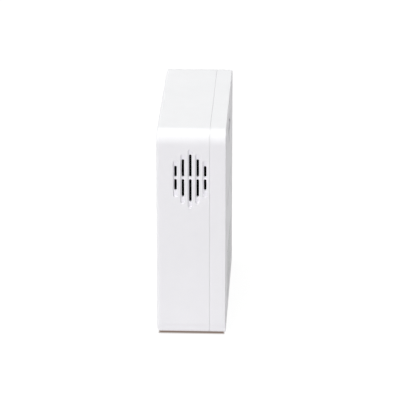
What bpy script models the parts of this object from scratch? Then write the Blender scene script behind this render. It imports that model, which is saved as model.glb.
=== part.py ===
"""Battery carbon monoxide alarm: a square two-part case that hangs on a wall or stands on its edge.

X is the width, -Y the front face, +Y the back and +Z up. The origin is the middle of the bottom face.
"""

import math

import bmesh
import bpy
from mathutils import Matrix, Vector

MM = 0.001

# ---- Case ----
WIDTH = 118 * MM
HEIGHT = 118 * MM
DEPTH = 37.5 * MM
CORNER_RADIUS = 8 * MM
WALL = 2.6 * MM
FRONT_ROUND = 1.8 * MM            # rounding of the front edge
COVER_DEPTH = 8.85 * MM           # thickness of the back cover, out to the seam
LIP_DEPTH = 2 * MM                # locating lip of the back cover
LIP_THICKNESS = 1.2 * MM
GAP = 0.3 * MM                    # clearance between pieces that touch
ROOT = 0.5 * MM                   # how far a boss or rib is sunk into its wall
RUN_OUT = 2 * MM                  # how far a cutter runs past the face it cuts

# ---- Sound grille, in the +X wall ----
GRILLE_DROP = 26.9 * MM           # below the top face
GRILLE_OFFSET = -0.45 * MM        # from mid-depth
GRILLE_PITCH = 4 * MM
GRILLE_LENGTHS = (33.7 * MM, 28.2 * MM, 20.7 * MM)   # middle channel, then each way out
CHANNEL_WIDTH = 2.5 * MM
CHANNEL_DEPTH = 1.8 * MM
GRILLE_WALL = 3.3 * MM            # the wall is thicker behind the channels
PAD_MARGIN = 0.8 * MM             # of that thicker patch, past the channels
SLOT_WIDTH = 1.4 * MM
SLOT_END = 3.4 * MM               # solid end of each channel
SLOT_BRIDGE = 1.25 * MM           # bar across the middle of each channel

# ---- Test button and lights, on the front ----
BUTTON_DROP = 53 * MM
BUTTON_RADIUS = 11 * MM
BUTTON_SUNK = 0.3 * MM            # its face lies this far below the front
BUTTON_EDGE = 0.4 * MM
BUTTON_TRAVEL = 0.8 * MM
FLANGE_WIDTH = 1 * MM
FLANGE_THICKNESS = 1 * MM
STEM_RADIUS = 2 * MM
LIGHT_DROP = 27 * MM
LIGHT_PITCH = 12 * MM
LIGHT_RADIUS = 1.5 * MM
LIGHT_BAR = (28 * MM, 1.2 * MM, 5 * MM)

# ---- Gas inlet, on the front ----
INLET_HEIGHT = 20 * MM
INLET_LENGTH = 28 * MM
INLET_SLOT = 1.6 * MM
INLET_CORNER = 0.45               # corner radius, as a share of the slot's width
INLET_PITCH = 3.6 * MM
INLET_COUNT = 5
SHEET = 0.3 * MM                  # thickness of the filter, the mesh and the label
SHEET_MARGIN = 1 * MM

# ---- Cells and their bay ----
CELL_RADIUS = 7.25 * MM
CELL_LENGTH = 50.5 * MM
CELL_EDGE = 0.4 * MM
CELL_PARTING = 0.4 * MM           # space between the cells, past their own clearances
NUB_RADIUS = 2.75 * MM
NUB_LENGTH = 1.3 * MM
PLATE = 0.4 * MM                  # contact sheet
CONTACT_MARGIN = 1.5 * MM         # the cell past the contact sheet, all round
SPRING_SPACE = 7.2 * MM
SPRING_WIRE = 0.35 * MM
SPRING_TURNS = 4
SPRING_WIDE = 0.62                # radius of its base, as a share of the cell's
SPRING_TAPER = 0.3                # of the cell's radius, lost along the spring
TAB_WIDTH = 3 * MM
TAB_LENGTH = 2 * MM               # solder tab, past the bay's wall
BAY_WALL = 1.6 * MM

# ---- Battery door ----
DOOR_DROP = 18.5 * MM             # top edge of the door below the top face
DOOR_THICKNESS = 2 * MM
DOOR_OVERLAP = 3.5 * MM           # the door past the bay, each side
DOOR_LEDGE = 1.7 * MM             # the door past the bay, top and bottom
FRAME_WALL = 2.4 * MM
BARREL_RADIUS = 1.75 * MM
TRUNNION_RADIUS = 1 * MM
TRUNNION_LENGTH = 1.2 * MM
LATCH_WIDTH = 12 * MM
LATCH_LENGTH = 9 * MM
LATCH_SLIT = 0.6 * MM
NOTCH_SIZE = (34 * MM, 7 * MM)
NOTCH_DEPTH = 3.5 * MM

# ---- Wall fixing and label, on the back ----
KEYHOLE_SPACING = 69 * MM
KEYHOLE_BELOW_DOOR = 12 * MM
KEYHOLE_RADIUS = 4.2 * MM
KEYHOLE_SLOT = 4 * MM
KEYHOLE_RISE = 5 * MM
LABEL_SIZE = (56 * MM, 28 * MM)
LABEL_LIFT = 10 * MM              # bottom of the label above the bottom face
LABEL_RECESS = 0.7 * MM

# ---- Case screws ----
SCREW_INSET = 8.5 * MM
SCREW_RADIUS = 1.45 * MM
SCREW_HEAD_RADIUS = 2.8 * MM
SCREW_HEAD = 2 * MM
SCREW_SUNK = 3 * MM
SCREW_BITE = 10 * MM              # length in the front boss
SCREW_TIP = 1.5 * MM              # length of the tapered tip
SCREW_POINT = 0.6                 # radius at the tip, as a share of the shank's
SCREW_CROWN = 0.7                 # radius of the head's flat top, as a share of the head's
BOSS_RADIUS = 3.75 * MM
COLUMN_RADIUS = 4.5 * MM

# ---- Circuit board ----
BOARD = 1.6 * MM
BOARD_STANDOFF = 7.15 * MM
BOARD_EDGE = 6 * MM               # from the inside of the -X wall
BOARD_END = 10.9 * MM             # from the inside of the top and bottom walls
BOARD_TO_SOUNDER = 3 * MM
POST_RADIUS = 3 * MM
POST_INSET = 4 * MM
BOARD_SCREW_RADIUS = 1.1 * MM
BOARD_SCREW_HEAD_RADIUS = 2.4 * MM
BOARD_SCREW_HEAD = 1.6 * MM
BOARD_SCREW_BITE = 4.5 * MM

# ---- Parts on the board ----
SWITCH_SIZE = 6 * MM
SWITCH_HEIGHT = 3 * MM
PLUNGER_RADIUS = 1.7 * MM
PLUNGER_SEAT = 1.4 * MM
LED_SIZE = (3.2 * MM, 1.9 * MM, 2.8 * MM)
SENSOR_RADIUS = 7 * MM
SENSOR_LENGTH = 24 * MM
SENSOR_CAP = 4 * MM
SENSOR_CAP_BORE = 2 * MM
SENSOR_GROOVE = 0.5 * MM
SENSOR_CRIMP = 4 * MM             # crimped groove, in from the open end
SENSOR_HEIGHT = 22 * MM
SADDLE_FLOOR = 1.2 * MM
SADDLE_SIZE = (16 * MM, 10 * MM)
CHIP_SIZE = (10 * MM, 1.4 * MM, 10 * MM)
CHIP_PLACE = (18 * MM, 34 * MM)     # in from the board's left edge, and up
INDUCTOR_RADIUS = 4.5 * MM
INDUCTOR_HEIGHT = 7 * MM
INDUCTOR_LIP = 0.8 * MM
INDUCTOR_PLACE = (12.4 * MM, 34 * MM)   # in from the board's right edge, and up
CAPACITOR_RADIUS = 3.15 * MM
CAPACITOR_HEIGHT = 8 * MM
CAPACITOR_EDGE = 0.4 * MM
CAPACITOR_LIFT = 35 * MM
CAPACITOR_PLACES = (-8 * MM, 2 * MM)
SOCKET_SIZE = (6 * MM, 5 * MM, 8 * MM)
SOCKET_RIM = 0.8 * MM

# ---- Sounder ----
SOUNDER_RADIUS = 12.3 * MM
SOUNDER_LENGTH = 11 * MM
SOUNDER_WALL = 1.2 * MM
SOUNDER_CHAMBER = 4 * MM          # behind the plate
SOUNDER_SEAT = 0.8 * MM           # width of the step that the plate sits on
CERAMIC_RADIUS = 7.5 * MM
RING_WIDTH = 1.5 * MM
GASKET = 1 * MM
CRADLE_LENGTH = 4 * MM
CRADLE_HEIGHT = 16 * MM
CRADLE_TOP = 0.8                  # of the sounder's radius, in front of its axis

LEAD_RADIUS = 0.6 * MM
LEAD_LAND = 5.5 * MM              # a cell lead's end on the board, past the bay's wall
SOUNDER_LEAD_SPREAD = 3 * MM
SOUNDER_LEAD_LAND = 3 * MM        # in from the board's right edge
LEAD_ARCH = 2.85 * MM             # how far a sounder lead stands off the board

# ---- Places that follow from the sizes ----
FRONT = -DEPTH / 2
BACK = DEPTH / 2
FRONT_INSIDE = FRONT + WALL
BACK_INSIDE = BACK - WALL
SIDE_INSIDE = WIDTH / 2 - WALL
SEAM = BACK - COVER_DEPTH
LIP_END = SEAM - LIP_DEPTH

GRILLE_Z = HEIGHT - GRILLE_DROP
BUTTON_Z = HEIGHT - BUTTON_DROP
LIGHT_Z = HEIGHT - LIGHT_DROP

BAY_HALF = (CELL_LENGTH + SPRING_SPACE + 2 * PLATE + 5 * GAP) / 2
BAY_HEIGHT = 4 * CELL_RADIUS + 4 * GAP + CELL_PARTING
DOOR_HALF = BAY_HALF + DOOR_OVERLAP
DOOR_TOP = HEIGHT - DOOR_DROP
DOOR_BOTTOM = DOOR_TOP - BAY_HEIGHT - 2 * DOOR_LEDGE
DOOR_INSIDE = BACK - DOOR_THICKNESS
BAY_TOP = DOOR_TOP - DOOR_LEDGE
BAY_BOTTOM = DOOR_BOTTOM + DOOR_LEDGE
BAY_FLOOR = DOOR_INSIDE - 2 * GAP - 2 * CELL_RADIUS
CELL_Y = DOOR_INSIDE - GAP - CELL_RADIUS
CELL_Z = (BAY_BOTTOM + 2 * GAP + CELL_RADIUS, BAY_TOP - 2 * GAP - CELL_RADIUS)
CELL_SHIFT = BAY_HALF - PLATE - 2 * GAP - CELL_LENGTH / 2
HINGE_Y = BACK - BARREL_RADIUS
HINGE_Z = DOOR_BOTTOM + BARREL_RADIUS

BOARD_FRONT = FRONT_INSIDE + BOARD_STANDOFF
BOARD_BACK = BOARD_FRONT + BOARD
GRILLE_INSIDE = WIDTH / 2 - GRILLE_WALL
SOUNDER_FACE = GRILLE_INSIDE - 3 * GAP - SHEET - GASKET
SOUNDER_BACK = SOUNDER_FACE - SOUNDER_LENGTH
BOARD_LEFT = -SIDE_INSIDE + BOARD_EDGE
BOARD_RIGHT = SOUNDER_BACK - BOARD_TO_SOUNDER
BOARD_BOTTOM = WALL + BOARD_END
BOARD_TOP = HEIGHT - WALL - BOARD_END
POST_PLACES = [(x, z) for x in (BOARD_LEFT + POST_INSET, BOARD_RIGHT - POST_INSET)
               for z in (BOARD_BOTTOM + POST_INSET, BOARD_TOP - POST_INSET)]
CORNER_PLACES = [(side * (WIDTH / 2 - SCREW_INSET), z) for side in (-1, 1)
                 for z in (SCREW_INSET, HEIGHT - SCREW_INSET)]
KEYHOLE_Z = DOOR_BOTTOM - KEYHOLE_BELOW_DOOR
SENSOR_Y = BOARD_BACK + 2 * GAP + SADDLE_FLOOR + SENSOR_RADIUS
LEAD_Y = BOARD_BACK + GAP


# ---- Materials ----

def material(name, color, roughness, metallic=0.0):
    made = bpy.data.materials.new(name)
    made.use_nodes = True
    shader = made.node_tree.nodes["Principled BSDF"]
    shader.inputs["Base Color"].default_value = (*color, 1)
    shader.inputs["Roughness"].default_value = roughness
    shader.inputs["Metallic"].default_value = metallic
    return made


# ---- Shapes ----

def finish(name, bm, mat, shade=True):
    """Turn a bmesh into a named object whose faces point out."""
    bmesh.ops.recalc_face_normals(bm, faces=bm.faces)
    mesh = bpy.data.meshes.new(name)
    bm.to_mesh(mesh)
    bm.free()
    if shade:
        mesh.shade_smooth()
        mesh.set_sharp_from_angle(angle=math.radians(35))
    made = bpy.data.objects.new(name, mesh)
    bpy.context.scene.collection.objects.link(made)
    if mat:
        made.data.materials.append(mat)
    return made


def rounded_outline(half_x, low_z, high_z, radius, y, steps=7):
    """Points round a rectangle with arcs at its corners, in the plane of y."""
    points = []
    corners = ((half_x, high_z, 0), (-half_x, high_z, 90), (-half_x, low_z, 180), (half_x, low_z, 270))
    for x, z, start in corners:
        center_x = x - math.copysign(radius, x)
        center_z = z - radius if z == high_z else z + radius
        for step in range(steps + 1):
            angle = math.radians(start + 90 * step / steps)
            points.append((center_x + radius * math.cos(angle), y, center_z + radius * math.sin(angle)))
    return points


def lofted(name, rings, mat):
    """One closed body through rings with equal numbers of points, capped at both ends."""
    bm = bmesh.new()
    made = [[bm.verts.new(point) for point in ring] for ring in rings]
    for first, second in zip(made, made[1:]):
        for index in range(len(first)):
            after = (index + 1) % len(first)
            bm.faces.new((first[index], first[after], second[after], second[index]))
    bm.faces.new(made[0])
    bm.faces.new(made[-1])
    return finish(name, bm, mat)


def case_ring(inset, y):
    """The case's outline, moved in by inset."""
    return rounded_outline(WIDTH / 2 - inset, inset, HEIGHT - inset, CORNER_RADIUS - inset, y)


def box(name, low, high, mat=None):
    bm = bmesh.new()
    size = Vector(high) - Vector(low)
    middle = (Vector(high) + Vector(low)) / 2
    bmesh.ops.create_cube(bm, size=1, matrix=Matrix.Translation(middle) @ Matrix.Diagonal((*size, 1)))
    return finish(name, bm, mat, shade=False)


def turned(name, profile, center, axis, mat=None, steps=32):
    """Spin a profile of (radius, distance along the axis), which starts and ends on the axis or closes."""
    bm = bmesh.new()
    verts = [bm.verts.new((radius, 0, along)) for radius, along in profile]
    edges = [bm.edges.new(pair) for pair in zip(verts, verts[1:])]
    if profile[0][0] > 0:
        edges.append(bm.edges.new((verts[-1], verts[0])))
    bmesh.ops.spin(bm, geom=verts + edges, cent=(0, 0, 0), axis=(0, 0, 1), angle=math.tau, steps=steps)
    bmesh.ops.remove_doubles(bm, verts=bm.verts, dist=1e-6)
    turn = {"X": Matrix.Rotation(math.pi / 2, 4, "Y"), "Y": Matrix.Rotation(-math.pi / 2, 4, "X")}
    bmesh.ops.transform(bm, matrix=Matrix.Translation(center) @ turn[axis], verts=bm.verts)
    return finish(name, bm, mat)


def rod(name, center, axis, radius, length, mat=None, steps=32):
    """A solid cylinder that starts at center and runs along the axis."""
    return turned(name, [(0, 0), (radius, 0), (radius, length), (0, length)], center, axis, mat, steps)


def pipe(name, center, axis, inner, outer, length, mat=None, steps=32):
    profile = [(inner, 0), (outer, 0), (outer, length), (inner, length)]
    return turned(name, profile, center, axis, mat, steps)


def stadium(name, center, half_width, half_length, low_x, high_x, steps=6):
    """A round-ended bar that stands along Z, between two places on X."""
    center_y, center_z = center
    ends = []
    for x in (low_x, high_x):
        ring = []
        for start, lift in ((0, half_length - half_width), (180, half_width - half_length)):
            for step in range(steps + 1):
                angle = math.radians(start + 180 * step / steps)
                ring.append((x, center_y + half_width * math.cos(angle),
                             center_z + lift + half_width * math.sin(angle)))
        ends.append(ring)
    return lofted(name, ends, None)


def tube(name, route, radius, mat, smooth=6, resolution=2):
    """A round wire along a smooth curve through the route's points."""
    points = [Vector(point) for point in route]
    points = [2 * points[0] - points[1], *points, 2 * points[-1] - points[-2]]
    path = []
    for before, start, end, after in zip(points, points[1:], points[2:], points[3:]):
        for step in range(smooth):
            t = step / smooth
            path.append(0.5 * (2 * start + t * (end - before)
                               + t * t * (2 * before - 5 * start + 4 * end - after)
                               + t ** 3 * (3 * start - before - 3 * end + after)))
    path.append(points[-2])
    return wire(name, path, radius, mat, resolution)


def wire(name, path, radius, mat, resolution=2):
    curve = bpy.data.curves.new(name, "CURVE")
    curve.dimensions = "3D"
    curve.bevel_depth = radius
    curve.bevel_resolution = resolution
    curve.use_fill_caps = True
    spline = curve.splines.new("POLY")
    spline.points.add(len(path) - 1)
    for place, point in zip(spline.points, path):
        place.co = (*point, 1)
    made = bpy.data.objects.new(name, curve)
    made.data.materials.append(mat)
    bpy.context.scene.collection.objects.link(made)
    return made


def combine(target, tool, operation):
    tool.hide_render = True
    tool.display_type = "WIRE"
    step = target.modifiers.new(tool.name, "BOOLEAN")
    step.operation = operation
    step.object = tool


def cut(target, *tools):
    for tool in tools:
        combine(target, tool, "DIFFERENCE")


def add(target, *tools):
    for tool in tools:
        combine(target, tool, "UNION")


def move_origin(made, place):
    """Put an object's origin at place without moving its shape."""
    made.data.transform(Matrix.Translation(-Vector(place)))
    made.location = place


# ---- Case ----

def grille_columns():
    """Place across the grille, and channel length, of each channel."""
    outer = len(GRILLE_LENGTHS) - 1
    for step in range(-outer, outer + 1):
        yield step, GRILLE_OFFSET + step * GRILLE_PITCH, GRILLE_LENGTHS[abs(step)]


def grille_reach():
    """Half the width and half the height of the grille's thicker patch of wall."""
    across = (len(GRILLE_LENGTHS) - 1) * GRILLE_PITCH + CHANNEL_WIDTH / 2
    return across + PAD_MARGIN, max(GRILLE_LENGTHS) / 2 + PAD_MARGIN


def cut_grille(shell):
    across, up = grille_reach()
    add(shell, box("add_pad", (GRILLE_INSIDE, GRILLE_OFFSET - across, GRILLE_Z - up),
                   (SIDE_INSIDE + ROOT, GRILLE_OFFSET + across, GRILLE_Z + up)))
    floor = WIDTH / 2 - CHANNEL_DEPTH
    for step, y, length in grille_columns():
        cut(shell, stadium(f"cut_channel_{step}", (y, GRILLE_Z), CHANNEL_WIDTH / 2, length / 2,
                           floor, WIDTH / 2 + RUN_OUT))
        slot = length / 2 - SLOT_END - SLOT_BRIDGE / 2
        for side in (-1, 1):
            middle = GRILLE_Z + side * (SLOT_BRIDGE / 2 + slot / 2)
            cut(shell, stadium(f"cut_slot_{step}_{side}", (y, middle), SLOT_WIDTH / 2, slot / 2,
                               GRILLE_INSIDE - RUN_OUT, WIDTH / 2))


def front_shell(mat):
    steps = 4
    rings = []
    for step in range(steps + 1):
        angle = math.pi / 2 * step / steps
        rings.append(case_ring(FRONT_ROUND * (1 - math.sin(angle)),
                               FRONT + FRONT_ROUND * (1 - math.cos(angle))))
    rings += [case_ring(0, SEAM), case_ring(WALL, SEAM), case_ring(WALL, FRONT_INSIDE)]
    shell = lofted("front_shell", rings, mat)
    root = FRONT_INSIDE - ROOT

    boss_end = LIP_END - GAP
    for index, (x, z) in enumerate(CORNER_PLACES):
        add(shell, rod(f"add_boss_{index}", (x, root, z), "Y", BOSS_RADIUS, boss_end - root, steps=20))
        pilot = SCREW_BITE + 2 * GAP
        cut(shell, rod(f"cut_pilot_{index}", (x, boss_end - pilot, z), "Y", SCREW_RADIUS + GAP,
                       pilot + RUN_OUT, steps=16))
    post_end = BOARD_FRONT - GAP
    for index, (x, z) in enumerate(POST_PLACES):
        add(shell, rod(f"add_post_{index}", (x, root, z), "Y", POST_RADIUS, post_end - root, steps=16))
        pilot = BOARD_SCREW_BITE + 2 * GAP
        cut(shell, rod(f"cut_post_{index}", (x, post_end - pilot, z), "Y", BOARD_SCREW_RADIUS + GAP,
                       pilot + RUN_OUT, steps=12))

    collar = BUTTON_RADIUS + FLANGE_WIDTH + 2 * GAP
    add(shell, pipe("add_collar", (0, root, BUTTON_Z), "Y", collar, collar + WALL / 2,
                    ROOT + 2 * GAP + FLANGE_THICKNESS + BUTTON_TRAVEL))
    cradle_x = (SOUNDER_BACK + SOUNDER_FACE) / 2
    cradle = box("add_cradle", (cradle_x - CRADLE_LENGTH / 2, root, GRILLE_Z - CRADLE_HEIGHT / 2),
                 (cradle_x + CRADLE_LENGTH / 2, GRILLE_OFFSET - CRADLE_TOP * SOUNDER_RADIUS,
                  GRILLE_Z + CRADLE_HEIGHT / 2))
    add(shell, cradle)
    cut(shell, rod("cut_cradle", (SOUNDER_BACK - RUN_OUT, GRILLE_OFFSET, GRILLE_Z), "X", SOUNDER_RADIUS + GAP,
                   SIDE_INSIDE - SOUNDER_BACK + RUN_OUT))

    cut(shell, rod("cut_button", (0, FRONT - RUN_OUT, BUTTON_Z), "Y", BUTTON_RADIUS + GAP,
                   WALL + 2 * RUN_OUT, steps=40))
    for step in (-1, 0, 1):
        cut(shell, rod(f"cut_light_{step}", (step * LIGHT_PITCH, FRONT - RUN_OUT, LIGHT_Z), "Y",
                       LIGHT_RADIUS + GAP, WALL + 2 * RUN_OUT, steps=16))
    for index in range(INLET_COUNT):
        z = INLET_HEIGHT + (index - (INLET_COUNT - 1) / 2) * INLET_PITCH
        cut(shell, lofted(f"cut_inlet_{index}",
                          [rounded_outline(INLET_LENGTH / 2, z - INLET_SLOT / 2, z + INLET_SLOT / 2,
                                           INLET_SLOT * INLET_CORNER, y, steps=3)
                           for y in (FRONT - RUN_OUT, FRONT_INSIDE + RUN_OUT)], None))
    cut_grille(shell)


def back_cover(mat):
    lip = WALL + GAP
    inner = lip + LIP_THICKNESS
    step = SEAM + GAP + LIP_THICKNESS
    insets = ((0, BACK), (0, SEAM + GAP), (lip, SEAM + GAP), (lip, LIP_END), (inner, LIP_END), (inner, step),
              (WALL, step + LIP_THICKNESS), (WALL, BACK_INSIDE))
    cover = lofted("back_cover", [case_ring(inset, y) for inset, y in insets], mat)
    root = BACK_INSIDE + ROOT

    reach = grille_reach()[1] + SHEET_MARGIN
    cut(cover, box("cut_lip", (SIDE_INSIDE - 4 * LIP_THICKNESS, LIP_END - RUN_OUT, GRILLE_Z - reach),
                   (SIDE_INSIDE, BACK_INSIDE - GAP, GRILLE_Z + reach)))

    for index, (x, z) in enumerate(CORNER_PLACES):
        add(cover, rod(f"add_column_{index}", (x, LIP_END, z), "Y", COLUMN_RADIUS, root - LIP_END, steps=20))
        cut(cover, rod(f"cut_screw_{index}", (x, LIP_END - RUN_OUT, z), "Y", SCREW_RADIUS + GAP,
                       BACK - LIP_END + 2 * RUN_OUT, steps=16))
        cut(cover, rod(f"cut_head_{index}", (x, BACK - SCREW_SUNK - SCREW_HEAD - GAP, z), "Y",
                       SCREW_HEAD_RADIUS + GAP, SCREW_SUNK + SCREW_HEAD + GAP + RUN_OUT, steps=20))

    outer_x, outer_low, outer_high = BAY_HALF + BAY_WALL, BAY_BOTTOM - BAY_WALL, BAY_TOP + BAY_WALL
    add(cover, box("add_bay", (-outer_x, BAY_FLOOR - BAY_WALL, outer_low), (outer_x, root, outer_high)))
    frame = FRAME_WALL + GAP
    seat = DOOR_INSIDE - GAP
    add(cover, box("add_frame", (-DOOR_HALF - frame, seat - FRAME_WALL, DOOR_BOTTOM - frame),
                   (DOOR_HALF + frame, root, DOOR_TOP + frame)))
    notch_x, notch_z = NOTCH_SIZE
    notch_low = DOOR_TOP + GAP
    notch_floor = BACK - NOTCH_DEPTH
    add(cover, box("add_notch", (-notch_x / 2 - BAY_WALL, notch_floor - BAY_WALL, DOOR_TOP),
                   (notch_x / 2 + BAY_WALL, root, notch_low + notch_z + BAY_WALL)))
    cut(cover, box("cut_bay", (-BAY_HALF, BAY_FLOOR, BAY_BOTTOM), (BAY_HALF, BACK + RUN_OUT, BAY_TOP)))
    cut(cover, box("cut_door", (-DOOR_HALF - GAP, seat, DOOR_BOTTOM - GAP),
                   (DOOR_HALF + GAP, BACK + RUN_OUT, DOOR_TOP + GAP)))
    end, pocket = DOOR_HALF + GAP, DOOR_HALF + TRUNNION_LENGTH + GAP
    barrel, pin = BARREL_RADIUS + GAP, TRUNNION_RADIUS + GAP
    profile = [(0, -pocket), (pin, -pocket), (pin, -end), (barrel, -end),
               (barrel, end), (pin, end), (pin, pocket), (0, pocket)]
    cut(cover, turned("cut_hinge", profile, (0, HINGE_Y, HINGE_Z), "X", steps=24))
    cut(cover, box("cut_notch", (-notch_x / 2, notch_floor, DOOR_TOP - ROOT),
                   (notch_x / 2, BACK + RUN_OUT, notch_low + notch_z)))
    for side, z in zip((-1, 1), CELL_Z):
        tab_low, tab_high = tab_span()
        cut(cover, box(f"cut_tab_{side}", (-outer_x - RUN_OUT, tab_low - GAP, z - PLATE / 2 - GAP),
                       (-BAY_HALF + RUN_OUT / 4, tab_high + GAP, z + PLATE / 2 + GAP)))

    for side in (-1, 1):
        x = side * KEYHOLE_SPACING / 2
        cut(cover, lofted(f"cut_keyhole_{side}",
                          [keyhole_outline(x, y) for y in (BACK_INSIDE - RUN_OUT, BACK + RUN_OUT)], None))
    label_x, label_z = LABEL_SIZE
    cut(cover, box("cut_label", (-label_x / 2 - GAP, BACK - LABEL_RECESS, LABEL_LIFT - GAP),
                   (label_x / 2 + GAP, BACK + RUN_OUT, LABEL_LIFT + label_z + GAP)))


def keyhole_outline(x, y, steps=24):
    """A round entry with a narrow round-ended slot that rises from it."""
    half = KEYHOLE_SLOT / 2
    meet = math.asin(half / KEYHOLE_RADIUS)
    points = []
    for step in range(steps + 1):
        angle = math.pi / 2 + meet + (math.tau - 2 * meet) * step / steps
        points.append((x + KEYHOLE_RADIUS * math.cos(angle), y, KEYHOLE_Z + KEYHOLE_RADIUS * math.sin(angle)))
    for step in range(steps // 3 + 1):
        angle = 3 * math.pi * step / steps
        points.append((x + half * math.cos(angle), y, KEYHOLE_Z + KEYHOLE_RISE + half * math.sin(angle)))
    return points


def case_screws(mat):
    head = BACK - SCREW_SUNK
    shank_end = LIP_END - SCREW_BITE
    for index, (x, z) in enumerate(CORNER_PLACES):
        under = head - SCREW_HEAD - shank_end
        profile = [(0, 0), (SCREW_POINT * SCREW_RADIUS, 0), (SCREW_RADIUS, SCREW_TIP), (SCREW_RADIUS, under),
                   (SCREW_HEAD_RADIUS, under), (SCREW_HEAD_RADIUS, under + SCREW_HEAD / 2),
                   (SCREW_CROWN * SCREW_HEAD_RADIUS, under + SCREW_HEAD), (0, under + SCREW_HEAD)]
        turned(f"case_screw_{index + 1}", profile, (x, shank_end, z), "Y", mat, steps=16)


def rating_label(mat):
    label_x, label_z = LABEL_SIZE
    y = BACK - LABEL_RECESS + GAP
    box("rating_label", (-label_x / 2, y, LABEL_LIFT), (label_x / 2, y + SHEET, LABEL_LIFT + label_z), mat)


# ---- Battery bay ----

def battery_door(mat):
    """Flat door with a round lower edge, whose end pins turn in the cover. Its origin is on the hinge."""
    edge = []
    meet = math.tau - math.acos((DOOR_INSIDE - HINGE_Y) / BARREL_RADIUS)
    steps = 16
    for step in range(steps + 1):
        angle = meet * step / steps
        edge.append((HINGE_Y + BARREL_RADIUS * math.cos(angle), HINGE_Z - BARREL_RADIUS * math.sin(angle)))
    edge += [(DOOR_INSIDE, DOOR_TOP), (BACK, DOOR_TOP)]
    door = lofted("battery_door", [[(x, y, z) for y, z in edge] for x in (-DOOR_HALF, DOOR_HALF)], mat)
    reach = DOOR_HALF + TRUNNION_LENGTH
    add(door, rod("add_pins", (-reach, HINGE_Y, HINGE_Z), "X", TRUNNION_RADIUS, 2 * reach, steps=16))
    for side in (-1, 1):
        x = side * (LATCH_WIDTH + LATCH_SLIT) / 2
        cut(door, box(f"cut_latch_{side}",
                      (x - LATCH_SLIT / 2, DOOR_INSIDE - RUN_OUT, DOOR_TOP - LATCH_LENGTH),
                      (x + LATCH_SLIT / 2, BACK + RUN_OUT, DOOR_TOP + RUN_OUT)))
    move_origin(door, (0, HINGE_Y, HINGE_Z))


def cells(mat):
    for name, side, z in (("cell_lower", 1, CELL_Z[0]), ("cell_upper", -1, CELL_Z[1])):
        body = CELL_LENGTH - NUB_LENGTH
        rim = CELL_RADIUS - CELL_EDGE
        profile = [(0, 0), (rim, 0), (CELL_RADIUS, CELL_EDGE), (CELL_RADIUS, body - CELL_EDGE), (rim, body),
                   (NUB_RADIUS, body), (NUB_RADIUS, CELL_LENGTH), (0, CELL_LENGTH)]
        cell = turned(name, profile, (0, 0, 0), "X", mat, steps=28)
        turn = Matrix.Identity(4) if side > 0 else Matrix.Rotation(math.pi, 4, "Z")
        start = Vector((side * (CELL_SHIFT - CELL_LENGTH / 2), CELL_Y, z))
        cell.data.transform(Matrix.Translation(start) @ turn)


def tab_span():
    return CELL_Y - TAB_WIDTH / 2, CELL_Y + TAB_WIDTH / 2


def contacts(mat, spring_mat):
    half = CELL_RADIUS - CONTACT_MARGIN
    inner = BAY_HALF - GAP
    low, high = tab_span()
    box("contact_bridge", (inner - PLATE, CELL_Y - half, CELL_Z[0] - half),
        (inner, CELL_Y + half, CELL_Z[1] + half), mat)
    for name, z in (("contact_negative", CELL_Z[0]), ("contact_positive", CELL_Z[1])):
        plate = box(name, (-inner, CELL_Y - half, z - half), (-inner + PLATE, CELL_Y + half, z + half), mat)
        add(plate, box(f"add_tab_{name}", (-inner - BAY_WALL - TAB_LENGTH, low, z - PLATE / 2),
                       (-inner + PLATE / 2, high, z + PLATE / 2)))
    start = inner - PLATE - GAP - SPRING_WIRE
    length = SPRING_SPACE - GAP - 2 * SPRING_WIRE
    for name, side, z in (("spring_lower", -1, CELL_Z[0]), ("spring_upper", 1, CELL_Z[1])):
        path = []
        rounds = 12
        for step in range(SPRING_TURNS * rounds + 1):
            share = step / (SPRING_TURNS * rounds)
            angle = math.tau * step / rounds
            radius = CELL_RADIUS * (SPRING_WIDE - SPRING_TAPER * share)
            path.append((side * (start - length * share), CELL_Y + radius * math.cos(angle),
                         z + radius * math.sin(angle)))
        wire(name, path, SPRING_WIRE, spring_mat, resolution=1)


def battery_leads(red, black):
    edge = -BAY_HALF - BAY_WALL
    tip = edge - TAB_LENGTH - GAP - LEAD_RADIUS
    land = edge - LEAD_LAND
    for name, z, mat in (("lead_negative", CELL_Z[0], black), ("lead_positive", CELL_Z[1], red)):
        route = [(tip, CELL_Y, z), (tip - 1.2 * MM, CELL_Y - 4 * MM, z - 1.5 * MM),
                 (land, (CELL_Y + LEAD_Y) / 2 - 2 * MM, z - 4 * MM), (land, LEAD_Y, z - 5 * MM)]
        tube(name, route, LEAD_RADIUS, mat)


# ---- Electronics ----

def circuit_board(mat):
    board = box("circuit_board", (BOARD_LEFT, BOARD_FRONT, BOARD_BOTTOM), (BOARD_RIGHT, BOARD_BACK, BOARD_TOP),
                mat)
    for index, (x, z) in enumerate(POST_PLACES):
        cut(board, rod(f"cut_board_{index}", (x, BOARD_FRONT - RUN_OUT, z), "Y", BOARD_SCREW_RADIUS + GAP,
                       BOARD + 2 * RUN_OUT, steps=16))


def board_screws(mat):
    for index, (x, z) in enumerate(POST_PLACES):
        start = BOARD_FRONT - GAP - BOARD_SCREW_BITE
        under = BOARD_BACK + GAP - start
        top = under + BOARD_SCREW_HEAD
        profile = [(0, 0), (BOARD_SCREW_RADIUS, 0), (BOARD_SCREW_RADIUS, under),
                   (BOARD_SCREW_HEAD_RADIUS, under), (SCREW_CROWN * BOARD_SCREW_HEAD_RADIUS, top), (0, top)]
        turned(f"board_screw_{index + 1}", profile, (x, start, z), "Y", mat, steps=16)


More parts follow.
